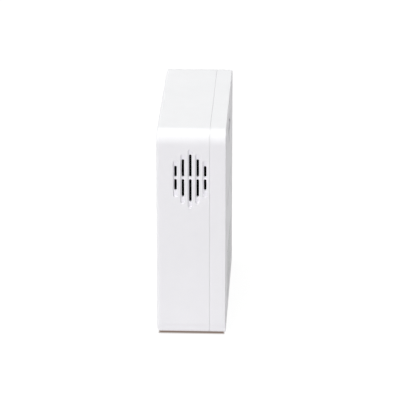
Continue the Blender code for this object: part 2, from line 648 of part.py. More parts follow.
def test_button(mat):
    face = FRONT + BUTTON_SUNK
    flange = FRONT_INSIDE + GAP - face
    stem_end = plunger_tip() - GAP - face
    outer = BUTTON_RADIUS + FLANGE_WIDTH
    profile = [(0, 0), (BUTTON_RADIUS - BUTTON_EDGE, 0), (BUTTON_RADIUS, BUTTON_EDGE),
               (BUTTON_RADIUS, flange), (outer, flange), (outer, flange + FLANGE_THICKNESS),
               (STEM_RADIUS, flange + FLANGE_THICKNESS), (STEM_RADIUS, stem_end), (0, stem_end)]
    button = turned("test_button", profile, (0, face, BUTTON_Z), "Y", mat, steps=40)
    move_origin(button, (0, face, BUTTON_Z))


def plunger_tip():
    return BOARD_FRONT - GAP - SWITCH_HEIGHT - BUTTON_TRAVEL - GAP


def switch(body_mat, plunger_mat):
    top = BOARD_FRONT - GAP - SWITCH_HEIGHT
    half = SWITCH_SIZE / 2
    body = box("switch_body", (-half, top, BUTTON_Z - half), (half, BOARD_FRONT - GAP, BUTTON_Z + half),
               body_mat)
    cut(body, rod("cut_plunger", (0, top - RUN_OUT, BUTTON_Z), "Y", PLUNGER_RADIUS + GAP,
                  PLUNGER_SEAT + BUTTON_TRAVEL + RUN_OUT, steps=24))
    tip = plunger_tip()
    plunger = rod("switch_plunger", (0, tip, BUTTON_Z), "Y", PLUNGER_RADIUS, top + PLUNGER_SEAT - GAP - tip,
                  plunger_mat, steps=24)
    move_origin(plunger, (0, tip, BUTTON_Z))


def lights(pipe_mat, led_mats):
    bar_x, bar_y, bar_z = LIGHT_BAR
    bar = FRONT_INSIDE + GAP
    face = FRONT + GAP
    tip = BOARD_FRONT - 2 * GAP - LED_SIZE[1]
    guide = box("light_pipe", (-bar_x / 2, bar, LIGHT_Z - bar_z / 2),
                (bar_x / 2, bar + bar_y, LIGHT_Z + bar_z / 2), pipe_mat)
    for step, (name, mat) in zip((-1, 0, 1), led_mats):
        x = step * LIGHT_PITCH
        add(guide, rod(f"add_light_{step}", (x, face, LIGHT_Z), "Y", LIGHT_RADIUS, tip - face, steps=20))
        half_x, half_z = LED_SIZE[0] / 2, LED_SIZE[2] / 2
        box(name, (x - half_x, BOARD_FRONT - GAP - LED_SIZE[1], LIGHT_Z - half_z),
            (x + half_x, BOARD_FRONT - GAP, LIGHT_Z + half_z), mat)


def sensor(can_mat, cap_mat, saddle_mat):
    start = -(SENSOR_LENGTH + SENSOR_CAP) / 2
    groove = SENSOR_GROOVE
    crimp = SENSOR_LENGTH - SENSOR_CRIMP
    profile = [(0, 0), (SENSOR_RADIUS - groove, 0), (SENSOR_RADIUS, groove), (SENSOR_RADIUS, crimp),
               (SENSOR_RADIUS - groove, crimp + groove), (SENSOR_RADIUS - groove, crimp + 2 * groove),
               (SENSOR_RADIUS, crimp + 3 * groove), (SENSOR_RADIUS, SENSOR_LENGTH), (0, SENSOR_LENGTH)]
    turned("sensor_can", profile, (start, SENSOR_Y, SENSOR_HEIGHT), "X", can_mat, steps=28)
    profile = [(SENSOR_CAP_BORE, 0), (SENSOR_RADIUS, 0), (SENSOR_RADIUS, SENSOR_CAP - groove),
               (SENSOR_RADIUS - groove, SENSOR_CAP), (SENSOR_CAP_BORE, SENSOR_CAP)]
    turned("sensor_cap", profile, (start + SENSOR_LENGTH + GAP, SENSOR_Y, SENSOR_HEIGHT), "X", cap_mat,
           steps=28)
    half_x, half_z = SADDLE_SIZE[0] / 2, SADDLE_SIZE[1] / 2
    low = BOARD_BACK + GAP
    saddle = box("sensor_saddle", (-half_x, low, SENSOR_HEIGHT - half_z),
                 (half_x, SENSOR_Y - SENSOR_RADIUS / 3, SENSOR_HEIGHT + half_z), saddle_mat)
    cut(saddle, rod("cut_saddle", (-half_x - RUN_OUT, SENSOR_Y, SENSOR_HEIGHT), "X", SENSOR_RADIUS + GAP,
                    2 * (half_x + RUN_OUT), steps=28))


def board_parts(chip_mat, coil_mat, can_mat, socket_mat):
    low = BOARD_BACK + GAP
    inset, z = CHIP_PLACE
    x = BOARD_LEFT + inset
    wide, tall, high = CHIP_SIZE
    box("controller_chip", (x - wide / 2, low, z - high / 2), (x + wide / 2, low + tall, z + high / 2),
        chip_mat)
    inset, z = INDUCTOR_PLACE
    x = BOARD_RIGHT - inset
    lip = INDUCTOR_LIP
    profile = [(0, 0), (INDUCTOR_RADIUS, 0), (INDUCTOR_RADIUS, lip), (INDUCTOR_RADIUS - lip, lip),
               (INDUCTOR_RADIUS - lip, INDUCTOR_HEIGHT - lip), (INDUCTOR_RADIUS, INDUCTOR_HEIGHT - lip),
               (INDUCTOR_RADIUS, INDUCTOR_HEIGHT), (0, INDUCTOR_HEIGHT)]
    turned("boost_inductor", profile, (x, low, z), "Y", coil_mat, steps=24)
    for index, x in enumerate(CAPACITOR_PLACES):
        profile = [(0, 0), (CAPACITOR_RADIUS, 0), (CAPACITOR_RADIUS, CAPACITOR_HEIGHT - CAPACITOR_EDGE),
                   (CAPACITOR_RADIUS - CAPACITOR_EDGE, CAPACITOR_HEIGHT), (0, CAPACITOR_HEIGHT)]
        turned(f"capacitor_{index + 1}", profile, (x, low, CAPACITOR_LIFT), "Y", can_mat, steps=24)
    wide, tall, high = SOCKET_SIZE
    x = BOARD_LEFT + POST_INSET
    z = CAPACITOR_LIFT
    socket = box("service_socket", (x - wide / 2, low, z - high / 2),
                 (x + wide / 2, low + tall, z + high / 2), socket_mat)
    rim = SOCKET_RIM
    cut(socket, box("cut_socket", (x - wide / 2 + rim, low + rim, z - high / 2 + rim),
                    (x + wide / 2 - rim, low + tall + RUN_OUT, z + high / 2 - rim)))


# ---- Sounder ----

def mesh_reach():
    """Half the height of the dust mesh, which covers every slot of the grille."""
    return max(GRILLE_LENGTHS) / 2 - SLOT_END + SHEET_MARGIN


def sounder(plastic, brass, ceramic, foam, mesh_mat):
    center = (SOUNDER_BACK, GRILLE_OFFSET, GRILLE_Z)
    inner = SOUNDER_RADIUS - SOUNDER_WALL
    seat = inner - SOUNDER_SEAT
    step = SOUNDER_WALL + SOUNDER_CHAMBER
    profile = [(0, 0), (SOUNDER_RADIUS, 0), (SOUNDER_RADIUS, SOUNDER_LENGTH), (inner, SOUNDER_LENGTH),
               (inner, step), (seat, step), (seat, SOUNDER_WALL), (0, SOUNDER_WALL)]
    turned("sounder_housing", profile, center, "X", plastic, steps=36)
    along = SOUNDER_BACK + step + GAP
    rod("piezo_plate", (along, GRILLE_OFFSET, GRILLE_Z), "X", inner - GAP, SHEET, brass, steps=36)
    along += SHEET + GAP
    rod("piezo_ceramic", (along, GRILLE_OFFSET, GRILLE_Z), "X", CERAMIC_RADIUS, SHEET, ceramic, steps=28)
    pipe("sounder_ring", (along, GRILLE_OFFSET, GRILLE_Z), "X", inner - GAP - RING_WIDTH, inner - GAP,
         RING_WIDTH, plastic, steps=36)
    pipe("sounder_gasket", (SOUNDER_FACE + GAP, GRILLE_OFFSET, GRILLE_Z), "X", inner, SOUNDER_RADIUS,
         GASKET, foam, steps=36)
    across = (len(GRILLE_LENGTHS) - 1) * GRILLE_PITCH + CHANNEL_WIDTH / 2
    sheet = GRILLE_INSIDE - GAP
    box("sounder_mesh", (sheet - SHEET, GRILLE_OFFSET - across, GRILLE_Z - mesh_reach()),
        (sheet, GRILLE_OFFSET + across, GRILLE_Z + mesh_reach()), mesh_mat)


def sounder_leads(red, black):
    start = SOUNDER_BACK - GAP
    land = BOARD_RIGHT - SOUNDER_LEAD_LAND
    leave = BOARD_BACK + LEAD_ARCH
    for name, side, mat in (("sounder_lead_live", 1, red), ("sounder_lead_common", -1, black)):
        z = GRILLE_Z + side * SOUNDER_LEAD_SPREAD
        route = [(start, leave, z), (start - 1.5 * MM, leave, z), (land + 0.6 * MM, (leave + LEAD_Y) / 2, z),
                 (land, LEAD_Y, z)]
        tube(name, route, LEAD_RADIUS, mat, smooth=5)


def inlet_filter(mat):
    half_z = (INLET_COUNT - 1) / 2 * INLET_PITCH + INLET_SLOT / 2 + SHEET_MARGIN / 2
    y = FRONT_INSIDE + GAP
    box("inlet_filter", (-INLET_LENGTH / 2 - SHEET_MARGIN, y, INLET_HEIGHT - half_z),
        (INLET_LENGTH / 2 + SHEET_MARGIN, y + SHEET, INLET_HEIGHT + half_z), mat)


def main():
    for old in list(bpy.data.objects):
        bpy.data.objects.remove(old, do_unlink=True)
    white = material("shell_white", (0.84, 0.83, 0.85), 0.4)
    door_white = material("door_white", (0.84, 0.83, 0.85), 0.42)
    button_white = material("button_white", (0.8, 0.8, 0.82), 0.38)
    paper = material("label_silver", (0.7, 0.7, 0.71), 0.5)
    steel = material("zinc_steel", (0.6, 0.6, 0.58), 0.35, 1.0)
    nickel = material("contact_nickel", (0.72, 0.71, 0.68), 0.25, 1.0)
    brass = material("brass", (0.72, 0.55, 0.25), 0.3, 1.0)
    ceramic = material("piezo_ceramic", (0.82, 0.8, 0.74), 0.5)
    black = material("black_plastic", (0.03, 0.03, 0.03), 0.5)
    foam = material("black_foam", (0.02, 0.02, 0.02), 0.9)
    mesh_grey = material("filter_mesh", (0.05, 0.05, 0.05), 0.8)
    green = material("board_green", (0.03, 0.2, 0.07), 0.45)
    sleeve = material("cell_sleeve", (0.05, 0.09, 0.16), 0.35)
    clear = material("clear_acrylic", (0.85, 0.88, 0.9), 0.1)
    red_wire = material("red_insulation", (0.5, 0.03, 0.02), 0.45)
    black_wire = material("black_insulation", (0.03, 0.03, 0.03), 0.45)
    led_mats = (("led_power", material("led_green", (0.1, 0.6, 0.15), 0.2)),
                ("led_fault", material("led_amber", (0.8, 0.45, 0.05), 0.2)),
                ("led_alarm", material("led_red", (0.7, 0.05, 0.03), 0.2)))

    front_shell(white)
    back_cover(white)
    case_screws(steel)
    rating_label(paper)
    test_button(button_white)
    cells(sleeve)
    contacts(nickel, nickel)
    battery_leads(red_wire, black_wire)
    circuit_board(green)
    board_screws(steel)
    switch(black, black)
    lights(clear, led_mats)
    sensor(steel, black, black)
    board_parts(black, black, steel, white)
    sounder(black, brass, ceramic, foam, mesh_grey)
    sounder_leads(red_wire, black_wire)
    inlet_filter(mesh_grey)
    battery_door(door_white)


main()
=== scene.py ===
import math
from contextlib import contextmanager

import bpy
from mathutils import Matrix, Vector


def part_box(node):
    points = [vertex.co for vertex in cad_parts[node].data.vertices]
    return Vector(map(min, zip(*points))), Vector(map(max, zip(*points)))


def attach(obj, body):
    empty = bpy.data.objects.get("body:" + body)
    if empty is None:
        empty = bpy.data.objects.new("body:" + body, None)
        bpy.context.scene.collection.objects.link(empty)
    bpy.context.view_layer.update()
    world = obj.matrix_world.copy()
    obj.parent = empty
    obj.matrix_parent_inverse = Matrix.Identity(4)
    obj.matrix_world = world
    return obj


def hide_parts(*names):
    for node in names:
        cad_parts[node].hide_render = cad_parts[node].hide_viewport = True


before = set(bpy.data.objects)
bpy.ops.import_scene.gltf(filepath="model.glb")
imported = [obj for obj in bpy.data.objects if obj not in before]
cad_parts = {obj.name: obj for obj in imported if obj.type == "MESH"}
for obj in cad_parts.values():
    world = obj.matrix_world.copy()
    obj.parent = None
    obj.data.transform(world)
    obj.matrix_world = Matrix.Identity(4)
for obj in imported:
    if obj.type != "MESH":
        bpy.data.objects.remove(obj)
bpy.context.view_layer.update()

MM = 0.001
TINY = 0.02 * MM

# ---- Sizes of the case, from the frame ----
SHELL_LOW, SHELL_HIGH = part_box("front_shell")
COVER_LOW, COVER_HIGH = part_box("back_cover")
DOOR_LOW, DOOR_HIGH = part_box("battery_door")
HALF = SHELL_HIGH.x
HEIGHT = SHELL_HIGH.z
FRONT = SHELL_LOW.y
SEAM = SHELL_HIGH.y
BACK = COVER_HIGH.y
LIP_END = COVER_LOW.y

WALL = 2.6 * MM
GAP = 0.3 * MM
ROOT = 0.5 * MM
RUN_OUT = 2 * MM
CORNER_RADIUS = 8 * MM
FRONT_ROUND = 1.8 * MM
BACK_ROUND = 0.45 * MM
SEAM_ROUND = 0.1 * MM
SEAM_GAP = 0.06 * MM               # what is left open between the two halves
LIP_THICKNESS = 1.2 * MM
FRONT_INSIDE = FRONT + WALL
BACK_INSIDE = BACK - WALL
SIDE_INSIDE = HALF - WALL
SHELL_END = SEAM + (GAP - SEAM_GAP) / 2
COVER_START = SHELL_END + SEAM_GAP

# ---- Sound grille ----
GRILLE_Y = -0.45 * MM
GRILLE_Z = HEIGHT - 26.9 * MM
GRILLE_PITCH = 4 * MM
GRILLE_LENGTHS = (33.7 * MM, 28.2 * MM, 20.7 * MM)
CHANNEL_RADIUS = 1.25 * MM
CHANNEL_DEPTH = 1.8 * MM
CHANNEL_RIM = 0.22 * MM
CHANNEL_FLOOR_ROUND = 0.35 * MM
SLOT_RADIUS = 0.7 * MM
SLOT_RIM = 0.12 * MM
SLOT_END = 3.4 * MM
SLOT_BRIDGE = 1.25 * MM
GRILLE_INSIDE = HALF - 3.3 * MM
PAD_MARGIN = 0.8 * MM
PAD_Y = (len(GRILLE_LENGTHS) - 1) * GRILLE_PITCH + CHANNEL_RADIUS + PAD_MARGIN
PAD_Z = max(GRILLE_LENGTHS) / 2 + PAD_MARGIN

# ---- Front face ----
BUTTON_Z = HEIGHT - 53 * MM
BUTTON_RADIUS = 11 * MM
BUTTON_RING = 14.5 * MM            # outer radius of the shallow dish round the button
LIGHT_Z = HEIGHT - 27 * MM
LIGHT_PITCH = 12 * MM
LIGHT_RADIUS = 1.5 * MM
INLET_Z = 20 * MM
INLET_LENGTH = 28 * MM
INLET_SLOT = 1.6 * MM
INLET_PITCH = 3.6 * MM
INLET_COUNT = 5

# ---- Back face ----
KEYHOLE_X = 34.5 * MM
KEYHOLE_BELOW_DOOR = 12 * MM
KEYHOLE_RADIUS = 4.2 * MM
KEYHOLE_SLOT = 2 * MM
KEYHOLE_RISE = 5 * MM
BACK_RIM = 0.3 * MM                # rounding of every hole in the back
LABEL_RECESS = 0.7 * MM
SCREW_INSET = 8.5 * MM
SCREW_HEAD_RADIUS = 2.8 * MM
SCREW_SUNK = 3 * MM
SCREW_HEAD = 2 * MM
SCREW_SHANK = 1.45 * MM
NOTCH_SIZE = (34 * MM, 7 * MM)
NOTCH_DEPTH = 3.5 * MM
BARREL_RADIUS = 1.75 * MM
TRUNNION_RADIUS = 1 * MM
TRUNNION_LENGTH = 1.2 * MM
DOOR_HALF = DOOR_HIGH.x - TRUNNION_LENGTH
DOOR_TOP = DOOR_HIGH.z
DOOR_BOTTOM = DOOR_LOW.z
DOOR_INSIDE = BACK - 2 * MM
KEYHOLE_Z = DOOR_BOTTOM - KEYHOLE_BELOW_DOOR
HINGE = Vector((0, BACK - BARREL_RADIUS, DOOR_BOTTOM + BARREL_RADIUS))
BAY_HALF = DOOR_HALF - 3.5 * MM
BAY_BOTTOM = DOOR_BOTTOM + 1.7 * MM
BAY_TOP = DOOR_TOP - 1.7 * MM
BAY_WALL = 1.6 * MM
CELL_RADIUS = 7.25 * MM
BAY_FLOOR = DOOR_INSIDE - 2 * GAP - 2 * CELL_RADIUS
CORNERS = [(side * (HALF - SCREW_INSET), z) for side in (-1, 1) for z in (SCREW_INSET, HEIGHT - SCREW_INSET)]


# ---- Modelling by hand, in code ----

def let_go():
    """Deselect every object."""
    bpy.ops.object.select_all(action="DESELECT")


def hold(piece):
    """Select one piece alone and make it active."""
    let_go()
    piece.select_set(True)
    bpy.context.view_layer.objects.active = piece


def settle(piece):
    """Put a piece's place, turn and scale into its mesh."""
    hold(piece)
    bpy.ops.object.transform_apply(location=True, rotation=True, scale=True)
    return piece


def named(name):
    """Name the object that an operator has just made."""
    piece = bpy.context.object
    piece.name = piece.data.name = name
    return piece


@contextmanager
def picked(piece, kind, test):
    """Edit a piece with the faces, edges or corners that pass a test selected."""
    hold(piece)
    bpy.ops.object.mode_set(mode="EDIT")
    bpy.ops.mesh.select_mode(type=kind)
    bpy.ops.mesh.select_all(action="DESELECT")
    bpy.ops.object.mode_set(mode="OBJECT")
    mesh = piece.data
    if kind == "FACE":
        for face in mesh.polygons:
            face.select = test(face.center, face.normal)
    elif kind == "EDGE":
        for edge in mesh.edges:
            edge.select = test(*(mesh.vertices[index].co for index in edge.vertices))
    else:
        for corner in mesh.vertices:
            corner.select = test(corner.co)
    bpy.ops.object.mode_set(mode="EDIT")
    yield
    bpy.ops.object.mode_set(mode="OBJECT")


def block(name, low, high):
    """A cube between two corners, ready to be shaped."""
    low, high = Vector(low), Vector(high)
    let_go()
    bpy.ops.mesh.primitive_cube_add(size=1, location=(low + high) / 2)
    piece = named(name)
    piece.scale = high - low
    return settle(piece)


def extrude(move):
    """Extrude the selected faces, while a piece is being edited."""
    bpy.ops.mesh.extrude_region_move(TRANSFORM_OT_translate={"value": move})


def inset(thickness):
    """Inset the selected faces, while a piece is being edited."""
    bpy.ops.mesh.inset(thickness=thickness)


def round_edges(piece, radius, segments, test):
    """Round the edges whose two ends pass a test."""
    with picked(piece, "EDGE", test):
        bpy.ops.mesh.bevel(offset=radius, offset_type="OFFSET", segments=segments, affect="EDGES",
                           clamp_overlap=False)


def along(axis):
    """A test for edges that run along one axis."""
    return lambda a, b: (b - a).length > TINY and abs((b - a)[axis]) > 0.999 * (b - a).length


def at(axis, place):
    """A test for edges that lie in the plane at one place on an axis."""
    return lambda a, b: abs(a[axis] - place) < TINY and abs(b[axis] - place) < TINY


def bar(name, low, high, radius, segments=4):
    """A block with every edge rounded."""
    piece = block(name, low, high)
    round_edges(piece, radius, segments, lambda a, b: True)
    return piece


TURNS = {"X": Matrix.Rotation(math.pi / 2, 4, "Y"), "-X": Matrix.Rotation(-math.pi / 2, 4, "Y"),
         "Y": Matrix.Rotation(-math.pi / 2, 4, "X"), "-Y": Matrix.Rotation(math.pi / 2, 4, "X"),
         "Z": Matrix.Identity(4)}


def turned(name, profile, center, axis="Y", steps=48):
    """A round piece: a cone between its first two rings, then one extrusion for each ring after them.

    The profile is a list of (radius, distance along the axis); it may fold back to make a hollow."""
    (wide, start), (narrow, end) = profile[:2]
    let_go()
    bpy.ops.mesh.primitive_cone_add(vertices=steps, radius1=wide, radius2=narrow, depth=end - start,
                                    location=(0, 0, (start + end) / 2))
    piece = settle(named(name))
    with picked(piece, "FACE", lambda middle, normal: normal.z > 0.999 and middle.z > end - TINY):
        for (radius, place), (next_radius, next_place) in zip(profile[1:], profile[2:]):
            extrude((0, 0, next_place - place))
            if next_radius != radius:
                ratio = next_radius / radius
                bpy.ops.transform.resize(value=(ratio, ratio, 1), center_override=(0, 0, next_place))
    half_step = Matrix.Rotation(math.pi / steps, 4, "Z")
    piece.matrix_world = Matrix.Translation(Vector(center)) @ TURNS[axis] @ half_step
    return settle(piece)


def rings(*points):
    """Profile points that are given in millimetres."""
    return [(radius * MM, along * MM) for radius, along in points]


def arc(center_radius, center_along, radius, start, end, steps):
    """Profile points along a rounding, between two angles in degrees: 0 is outwards, 90 is along the axis."""
    points = []
    for step in range(steps + 1):
        angle = math.radians(start + (end - start) * step / steps)
        points.append((center_radius + radius * math.cos(angle), center_along + radius * math.sin(angle)))
    return points


def bevelled(radius, start, end, edge):
    """Profile points of a rod with a bevel at each end."""
    return [(radius - edge, start), (radius, start + edge), (radius, end - edge), (radius - edge, end)]


def hole_profile(radius, start, end):
    """Profile points of a straight cutter, which runs out past both faces."""
    return [(radius, start - RUN_OUT), (radius, end + RUN_OUT)]


def stretch(piece, middle, move):
    """Lengthen a round piece: its two halves move apart."""
    middle, move = Vector(middle), Vector(move)
    for way in (move, -move):
        with picked(piece, "VERT", lambda corner: (corner - middle).dot(way) > 0):
            bpy.ops.transform.translate(value=way)
    return piece


def joined(pieces):
    """Join pieces into the first of them."""
    hold(pieces[0])
    for piece in pieces[1:]:
        piece.select_set(True)
    if len(pieces) > 1:
        bpy.ops.object.join()
    return pieces[0]


def combine(target, tools, operation):
    tool = joined(list(tools))
    hold(target)
    bpy.ops.object.modifier_add(type="BOOLEAN")
    step = target.modifiers[-1]
    step.solver = "EXACT"
    step.operation = operation
    step.object = tool
    bpy.ops.object.modifier_apply(modifier=step.name)
    bpy.data.objects.remove(tool, do_unlink=True)
    return target


def carve(target, *tools):
    return combine(target, tools, "DIFFERENCE")


def weld(target, *tools):
    return combine(target, tools, "UNION")


def soften(piece, width, segments=2, angle=40):
    """Round every edge sharper than an angle by a little."""
    hold(piece)
    bpy.ops.object.modifier_add(type="BEVEL")
    step = piece.modifiers[-1]
    step.width = width
    step.segments = segments
    step.limit_method = "ANGLE"
    step.angle_limit = math.radians(angle)
    bpy.ops.object.modifier_apply(modifier=step.name)
    return piece


def smooth(piece, angle=50):
    """Shade a piece smooth, with its large faces kept flat."""
    hold(piece)
    bpy.ops.object.shade_smooth_by_angle(angle=math.radians(angle))
    bpy.ops.object.modifier_add(type="WEIGHTED_NORMAL")
    step = piece.modifiers[-1]
    step.keep_sharp = True
    bpy.ops.object.modifier_apply(modifier=step.name)
    return piece


def copied(piece, name, move=(0, 0, 0)):
    """Another of a piece, with its own mesh, moved within that mesh."""
    hold(piece)
    bpy.ops.object.duplicate(linked=False)
    twin = named(name)
    twin.location = move
    return settle(twin)


def foot_of(node, axis=1):
    """A round node's foot, which is the middle of its low end along an axis, its length and its radius."""
    low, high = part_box(node)
    foot = (low + high) / 2
    foot[axis] = low[axis]
    return foot, high[axis] - low[axis], (high.z - low.z) / 2


def wire(name, path, radius, resolution=3):
    """A round wire along a path, as a mesh."""
    curve = bpy.data.curves.new(name, "CURVE")
    curve.dimensions = "3D"
    curve.bevel_depth = radius
    curve.bevel_resolution = resolution
    curve.use_fill_caps = True
    spline = curve.splines.new("POLY")
    spline.points.add(len(path) - 1)
    for place, point in zip(spline.points, path):
        place.co = (*point, 1)
    piece = bpy.data.objects.new(name, curve)
    bpy.context.scene.collection.objects.link(piece)
    hold(piece)
    bpy.ops.object.convert(target="MESH")
    return smooth(named(name), 70)


def dress(piece, finish, *others):
    """Give a piece its finish, and any others that some of its faces use."""
    piece.data.materials.clear()
    for mat in (finish, *others):
        piece.data.materials.append(mat)
    return piece


def paint(piece, index, test):
    """Give the faces whose middle passes a test the piece's finish at an index."""
    for face in piece.data.polygons:
        if test(face.center):
            face.material_index = index


def fit(piece, body, slot, *nodes):
    """Say which body a piece moves with and the CAD nodes that it stands for; its material slot is not used.
    """
    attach(piece, body)
    if nodes:
        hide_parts(*nodes)
    return piece


def finish_piece(piece, finish, slot, node, angle=50, body="case"):
    """Shade a piece smooth, dress it, and put it in for its CAD node."""
    smooth(piece, angle)
    dress(piece, finish)
    return fit(piece, body, slot, node)


# ---- Finishes ----

class Value:
    """A node's output. Arithmetic on it adds Math nodes."""

    def __init__(self, finish, socket):
        self.finish = finish
        self.socket = socket

    def math(self, operation, *values):
        return self.finish.node("ShaderNodeMath", {"operation": operation}, dict(enumerate(values)))

    def __add__(self, other):
        return self.math("ADD", self, other)

    def __sub__(self, other):
        return self.math("SUBTRACT", self, other)

    def __rsub__(self, other):
        return self.math("SUBTRACT", other, self)

    def __mul__(self, other):
        return self.math("MULTIPLY", self, other)

    def __mod__(self, other):
        return self.math("FLOORED_MODULO", self, other)

    def __lt__(self, other):
        return self.math("LESS_THAN", self, other)

    def __gt__(self, other):
        return self.math("GREATER_THAN", self, other)

    def __abs__(self):
        return self.math("ABSOLUTE", self)

    def both(self, other):
        return self.math("MINIMUM", self, other)

    def either(self, other):
        return self.math("MAXIMUM", self, other)

    __radd__ = __add__
    __rmul__ = __mul__


class Finish:
    """A material that is being made."""

    def __init__(self, name, **same):
        self.material = bpy.data.materials.new(name)
        self.material.use_nodes = True
        self.nodes = self.material.node_tree.nodes
        self.links = self.material.node_tree.links
        self.shader = self.nodes["Principled BSDF"]
        for socket, value in same.items():
            self.shader.inputs[socket.replace("_", " ")].default_value = value

    def node(self, kind, settings=None, values=None, output=0):
        """Add a node: its settings first, then the values or links of its sockets."""
        made = self.nodes.new(kind)
        for key, setting in (settings or {}).items():
            setattr(made, key, setting)
        for key, value in (values or {}).items():
            socket = made.inputs[key]
            if isinstance(value, Value):
                self.links.new(value.socket, socket)
            else:
                socket.default_value = value
        return Value(self, made.outputs[output])

    def place(self, move=(0, 0, 0), scale=(1, 1, 1)):
        """Object coordinates, scaled and then moved."""
        here = self.node("ShaderNodeTexCoord", output="Object")
        return self.node("ShaderNodeMapping", None, {"Vector": here, "Location": move, "Scale": scale})

    def axes(self, move=(0, 0, 0)):
        """The three object coordinates in millimetres, as numbers."""
        here = self.place(move=tuple(-part / MM for part in move), scale=(1 / MM,) * 3)
        return [self.node("ShaderNodeSeparateXYZ", None, {0: here}, output=name) for name in ("X", "Y", "Z")]

    def noise(self, size, detail=3, roughness=0.5, stretch=(1, 1, 1)):
        """Noise with features of a size in metres."""
        where = self.place(scale=tuple(part / size for part in stretch))
        return self.node("ShaderNodeTexNoise", None,
                         {"Vector": where, "Scale": 1.0, "Detail": detail, "Roughness": roughness})

    def between(self, value, low, high, new_low, new_high):
        """Carry a value from one range to another, held within it."""
        return self.node("ShaderNodeMapRange", {"clamp": True},
                         {"Value": value, "From Min": low, "From Max": high,
                          "To Min": new_low, "To Max": new_high})

    def wave(self, value, pitch):
        """Threads a pitch apart: 0 between them and 1 along their middles."""
        turn = value * (math.tau / pitch)
        return self.node("ShaderNodeMath", {"operation": "SINE"}, {0: turn}) * 0.5 + 0.5

    def mix(self, factor, first, second):
        """Mix two colours, given as red, green and blue or as another node's output."""
        first, second = (color if isinstance(color, Value) else (*color, 1) for color in (first, second))
        return self.node("ShaderNodeMix", {"data_type": "RGBA"}, {0: factor, 6: first, 7: second}, output=2)

    def bump(self, height, depth):
        """A Bump node whose height of 1 stands depth metres."""
        return self.node("ShaderNodeBump", None, {"Height": height, "Distance": depth})

    def set(self, **links):
        for name, value in links.items():
            self.links.new(value.socket, self.shader.inputs[name.replace("_", " ")])
        return self.material


def tint(color, factor):
    return tuple(min(1.0, part * factor) for part in color[:3])


FLOW_SIZE = 38 * MM                # marks where the plastic flowed in the mould
CLOUD_SIZE = 7 * MM
MIDDLE = (0.3, 0.7)                # the range that most noise values lie in
THREAD_PITCH = 0.35                # of the filter cloths, in millimetres as the others in shaders are
TRACK_PITCH = 1.9
TRACK_HALF = 0.2
VIA_REACH = 0.42
PRINT_LINE = 0.14                  # half the width of a printed line
LABEL_EDGE = 1.6                   # from the label's edge to its frame
RULE_PITCH = 4                     # of the label's ruled lines
RULE_HALF = 0.1
FIELD_MIDDLE = (16, 3.4)           # an empty square on the label
FIELD_HALF = (6.6, 6.2)
STRIPE_DEPTH = 1.9                 # how far a capacitor's stripe goes round its side
BAND_START = 15                    # of a cell's pale band, from the middle of the cell
BAND_RULE = 14                     # of the thin line beside the band
SIGN_HALF = 0.4                    # half the width of a bar of a cell's sign
SIGN_REACH = 1.7
PLUS_PLACE = 19.5                  # of a cell's signs, from the middle of the cell
MINUS_PLACE = -21


def moulded(name, color, roughness, grain=0.35 * MM, depth=0.006 * MM, sheen=0.5):
    """Moulded plastic: a fine spark-eroded grain, with faint flow marks in colour and gloss."""
    made = Finish(name, Specular_IOR_Level=sheen)
    flow = made.noise(FLOW_SIZE, detail=2)
    fine = made.noise(grain, detail=2, roughness=0.6)
    cloud = made.noise(CLOUD_SIZE)
    shade = made.between(flow * 0.6 + cloud * 0.4, *MIDDLE, 0, 1)
    color_now = made.mix(shade, tint(color, 0.975), tint(color, 1.015))
    gloss = made.between(flow * 0.4 + fine * 0.6, *MIDDLE, roughness - 0.05, roughness + 0.05)
    return made.set(Base_Color=color_now, Roughness=gloss, Normal=made.bump(fine + cloud * 0.4, depth))


WHITE = (0.815, 0.805, 0.835)
shell_white = moulded("shell_white", WHITE, 0.5, sheen=0.36)
door_white = moulded("door_white", tint(WHITE, 0.99), 0.5)
button_white = moulded("button_white", tint(WHITE, 0.97), 0.42)
# painted light: a whiter copy of the shell plastic, which makes the floors and walls of the grille's channels
# brighter than their own lighting leaves them
channel_painted_light = moulded("channel_painted_light", tint(WHITE, 1.1), 0.6)
black_plastic = moulded("black_plastic", (0.022, 0.022, 0.024), 0.5)
socket_white = moulded("socket_white", (0.72, 0.7, 0.64), 0.45)
black_foam = moulded("black_foam", (0.018, 0.018, 0.019), 0.92, grain=0.6 * MM, depth=0.12 * MM, sheen=0.1)
ferrite = moulded("ferrite", (0.05, 0.052, 0.055), 0.62, grain=0.25 * MM, depth=0.02 * MM)
piezo_ceramic = moulded("piezo_ceramic", (0.8, 0.78, 0.72), 0.55, grain=0.12 * MM, depth=0.003 * MM)


def metal(name, color, roughness, axis=0):
    """Worked metal: fine lines along one axis, and tarnish in colour and gloss."""
    made = Finish(name, Metallic=1.0)
    lines = made.noise(0.12 * MM, detail=2, stretch=tuple(0.04 if part == axis else 1 for part in range(3)))
    stain = made.noise(2.4 * MM, detail=4)
    color_now = made.mix(made.between(stain, 0.35, 0.7, 0, 1), tint(color, 0.86), color)
    gloss = made.between(lines * 0.5 + stain * 0.5, *MIDDLE, roughness - 0.08, roughness + 0.1)
    return made.set(Base_Color=color_now, Roughness=gloss, Normal=made.bump(lines, 0.002 * MM))


screw_steel = metal("screw_steel", (0.62, 0.62, 0.6), 0.32)
contact_nickel = metal("contact_nickel", (0.74, 0.72, 0.68), 0.26, axis=2)
piezo_brass = metal("piezo_brass", (0.78, 0.6, 0.3), 0.3, axis=2)
sensor_steel = metal("sensor_steel", (0.66, 0.66, 0.65), 0.28)
coil_copper = metal("coil_copper", (0.72, 0.33, 0.16), 0.3)


def insulation(name, color):
    """Wire insulation, with the faint ripple of the strands below."""
    made = Finish(name, Coat_Roughness=0.3)
    ripple = made.noise(0.5 * MM, detail=2)
    grime = made.noise(3 * MM)
    color_now = made.mix(made.between(grime, *MIDDLE, 0, 1), tint(color, 0.8), color)
    return made.set(Base_Color=color_now, Roughness=made.between(ripple, *MIDDLE, 0.36, 0.5),
                    Normal=made.bump(ripple, 0.01 * MM))


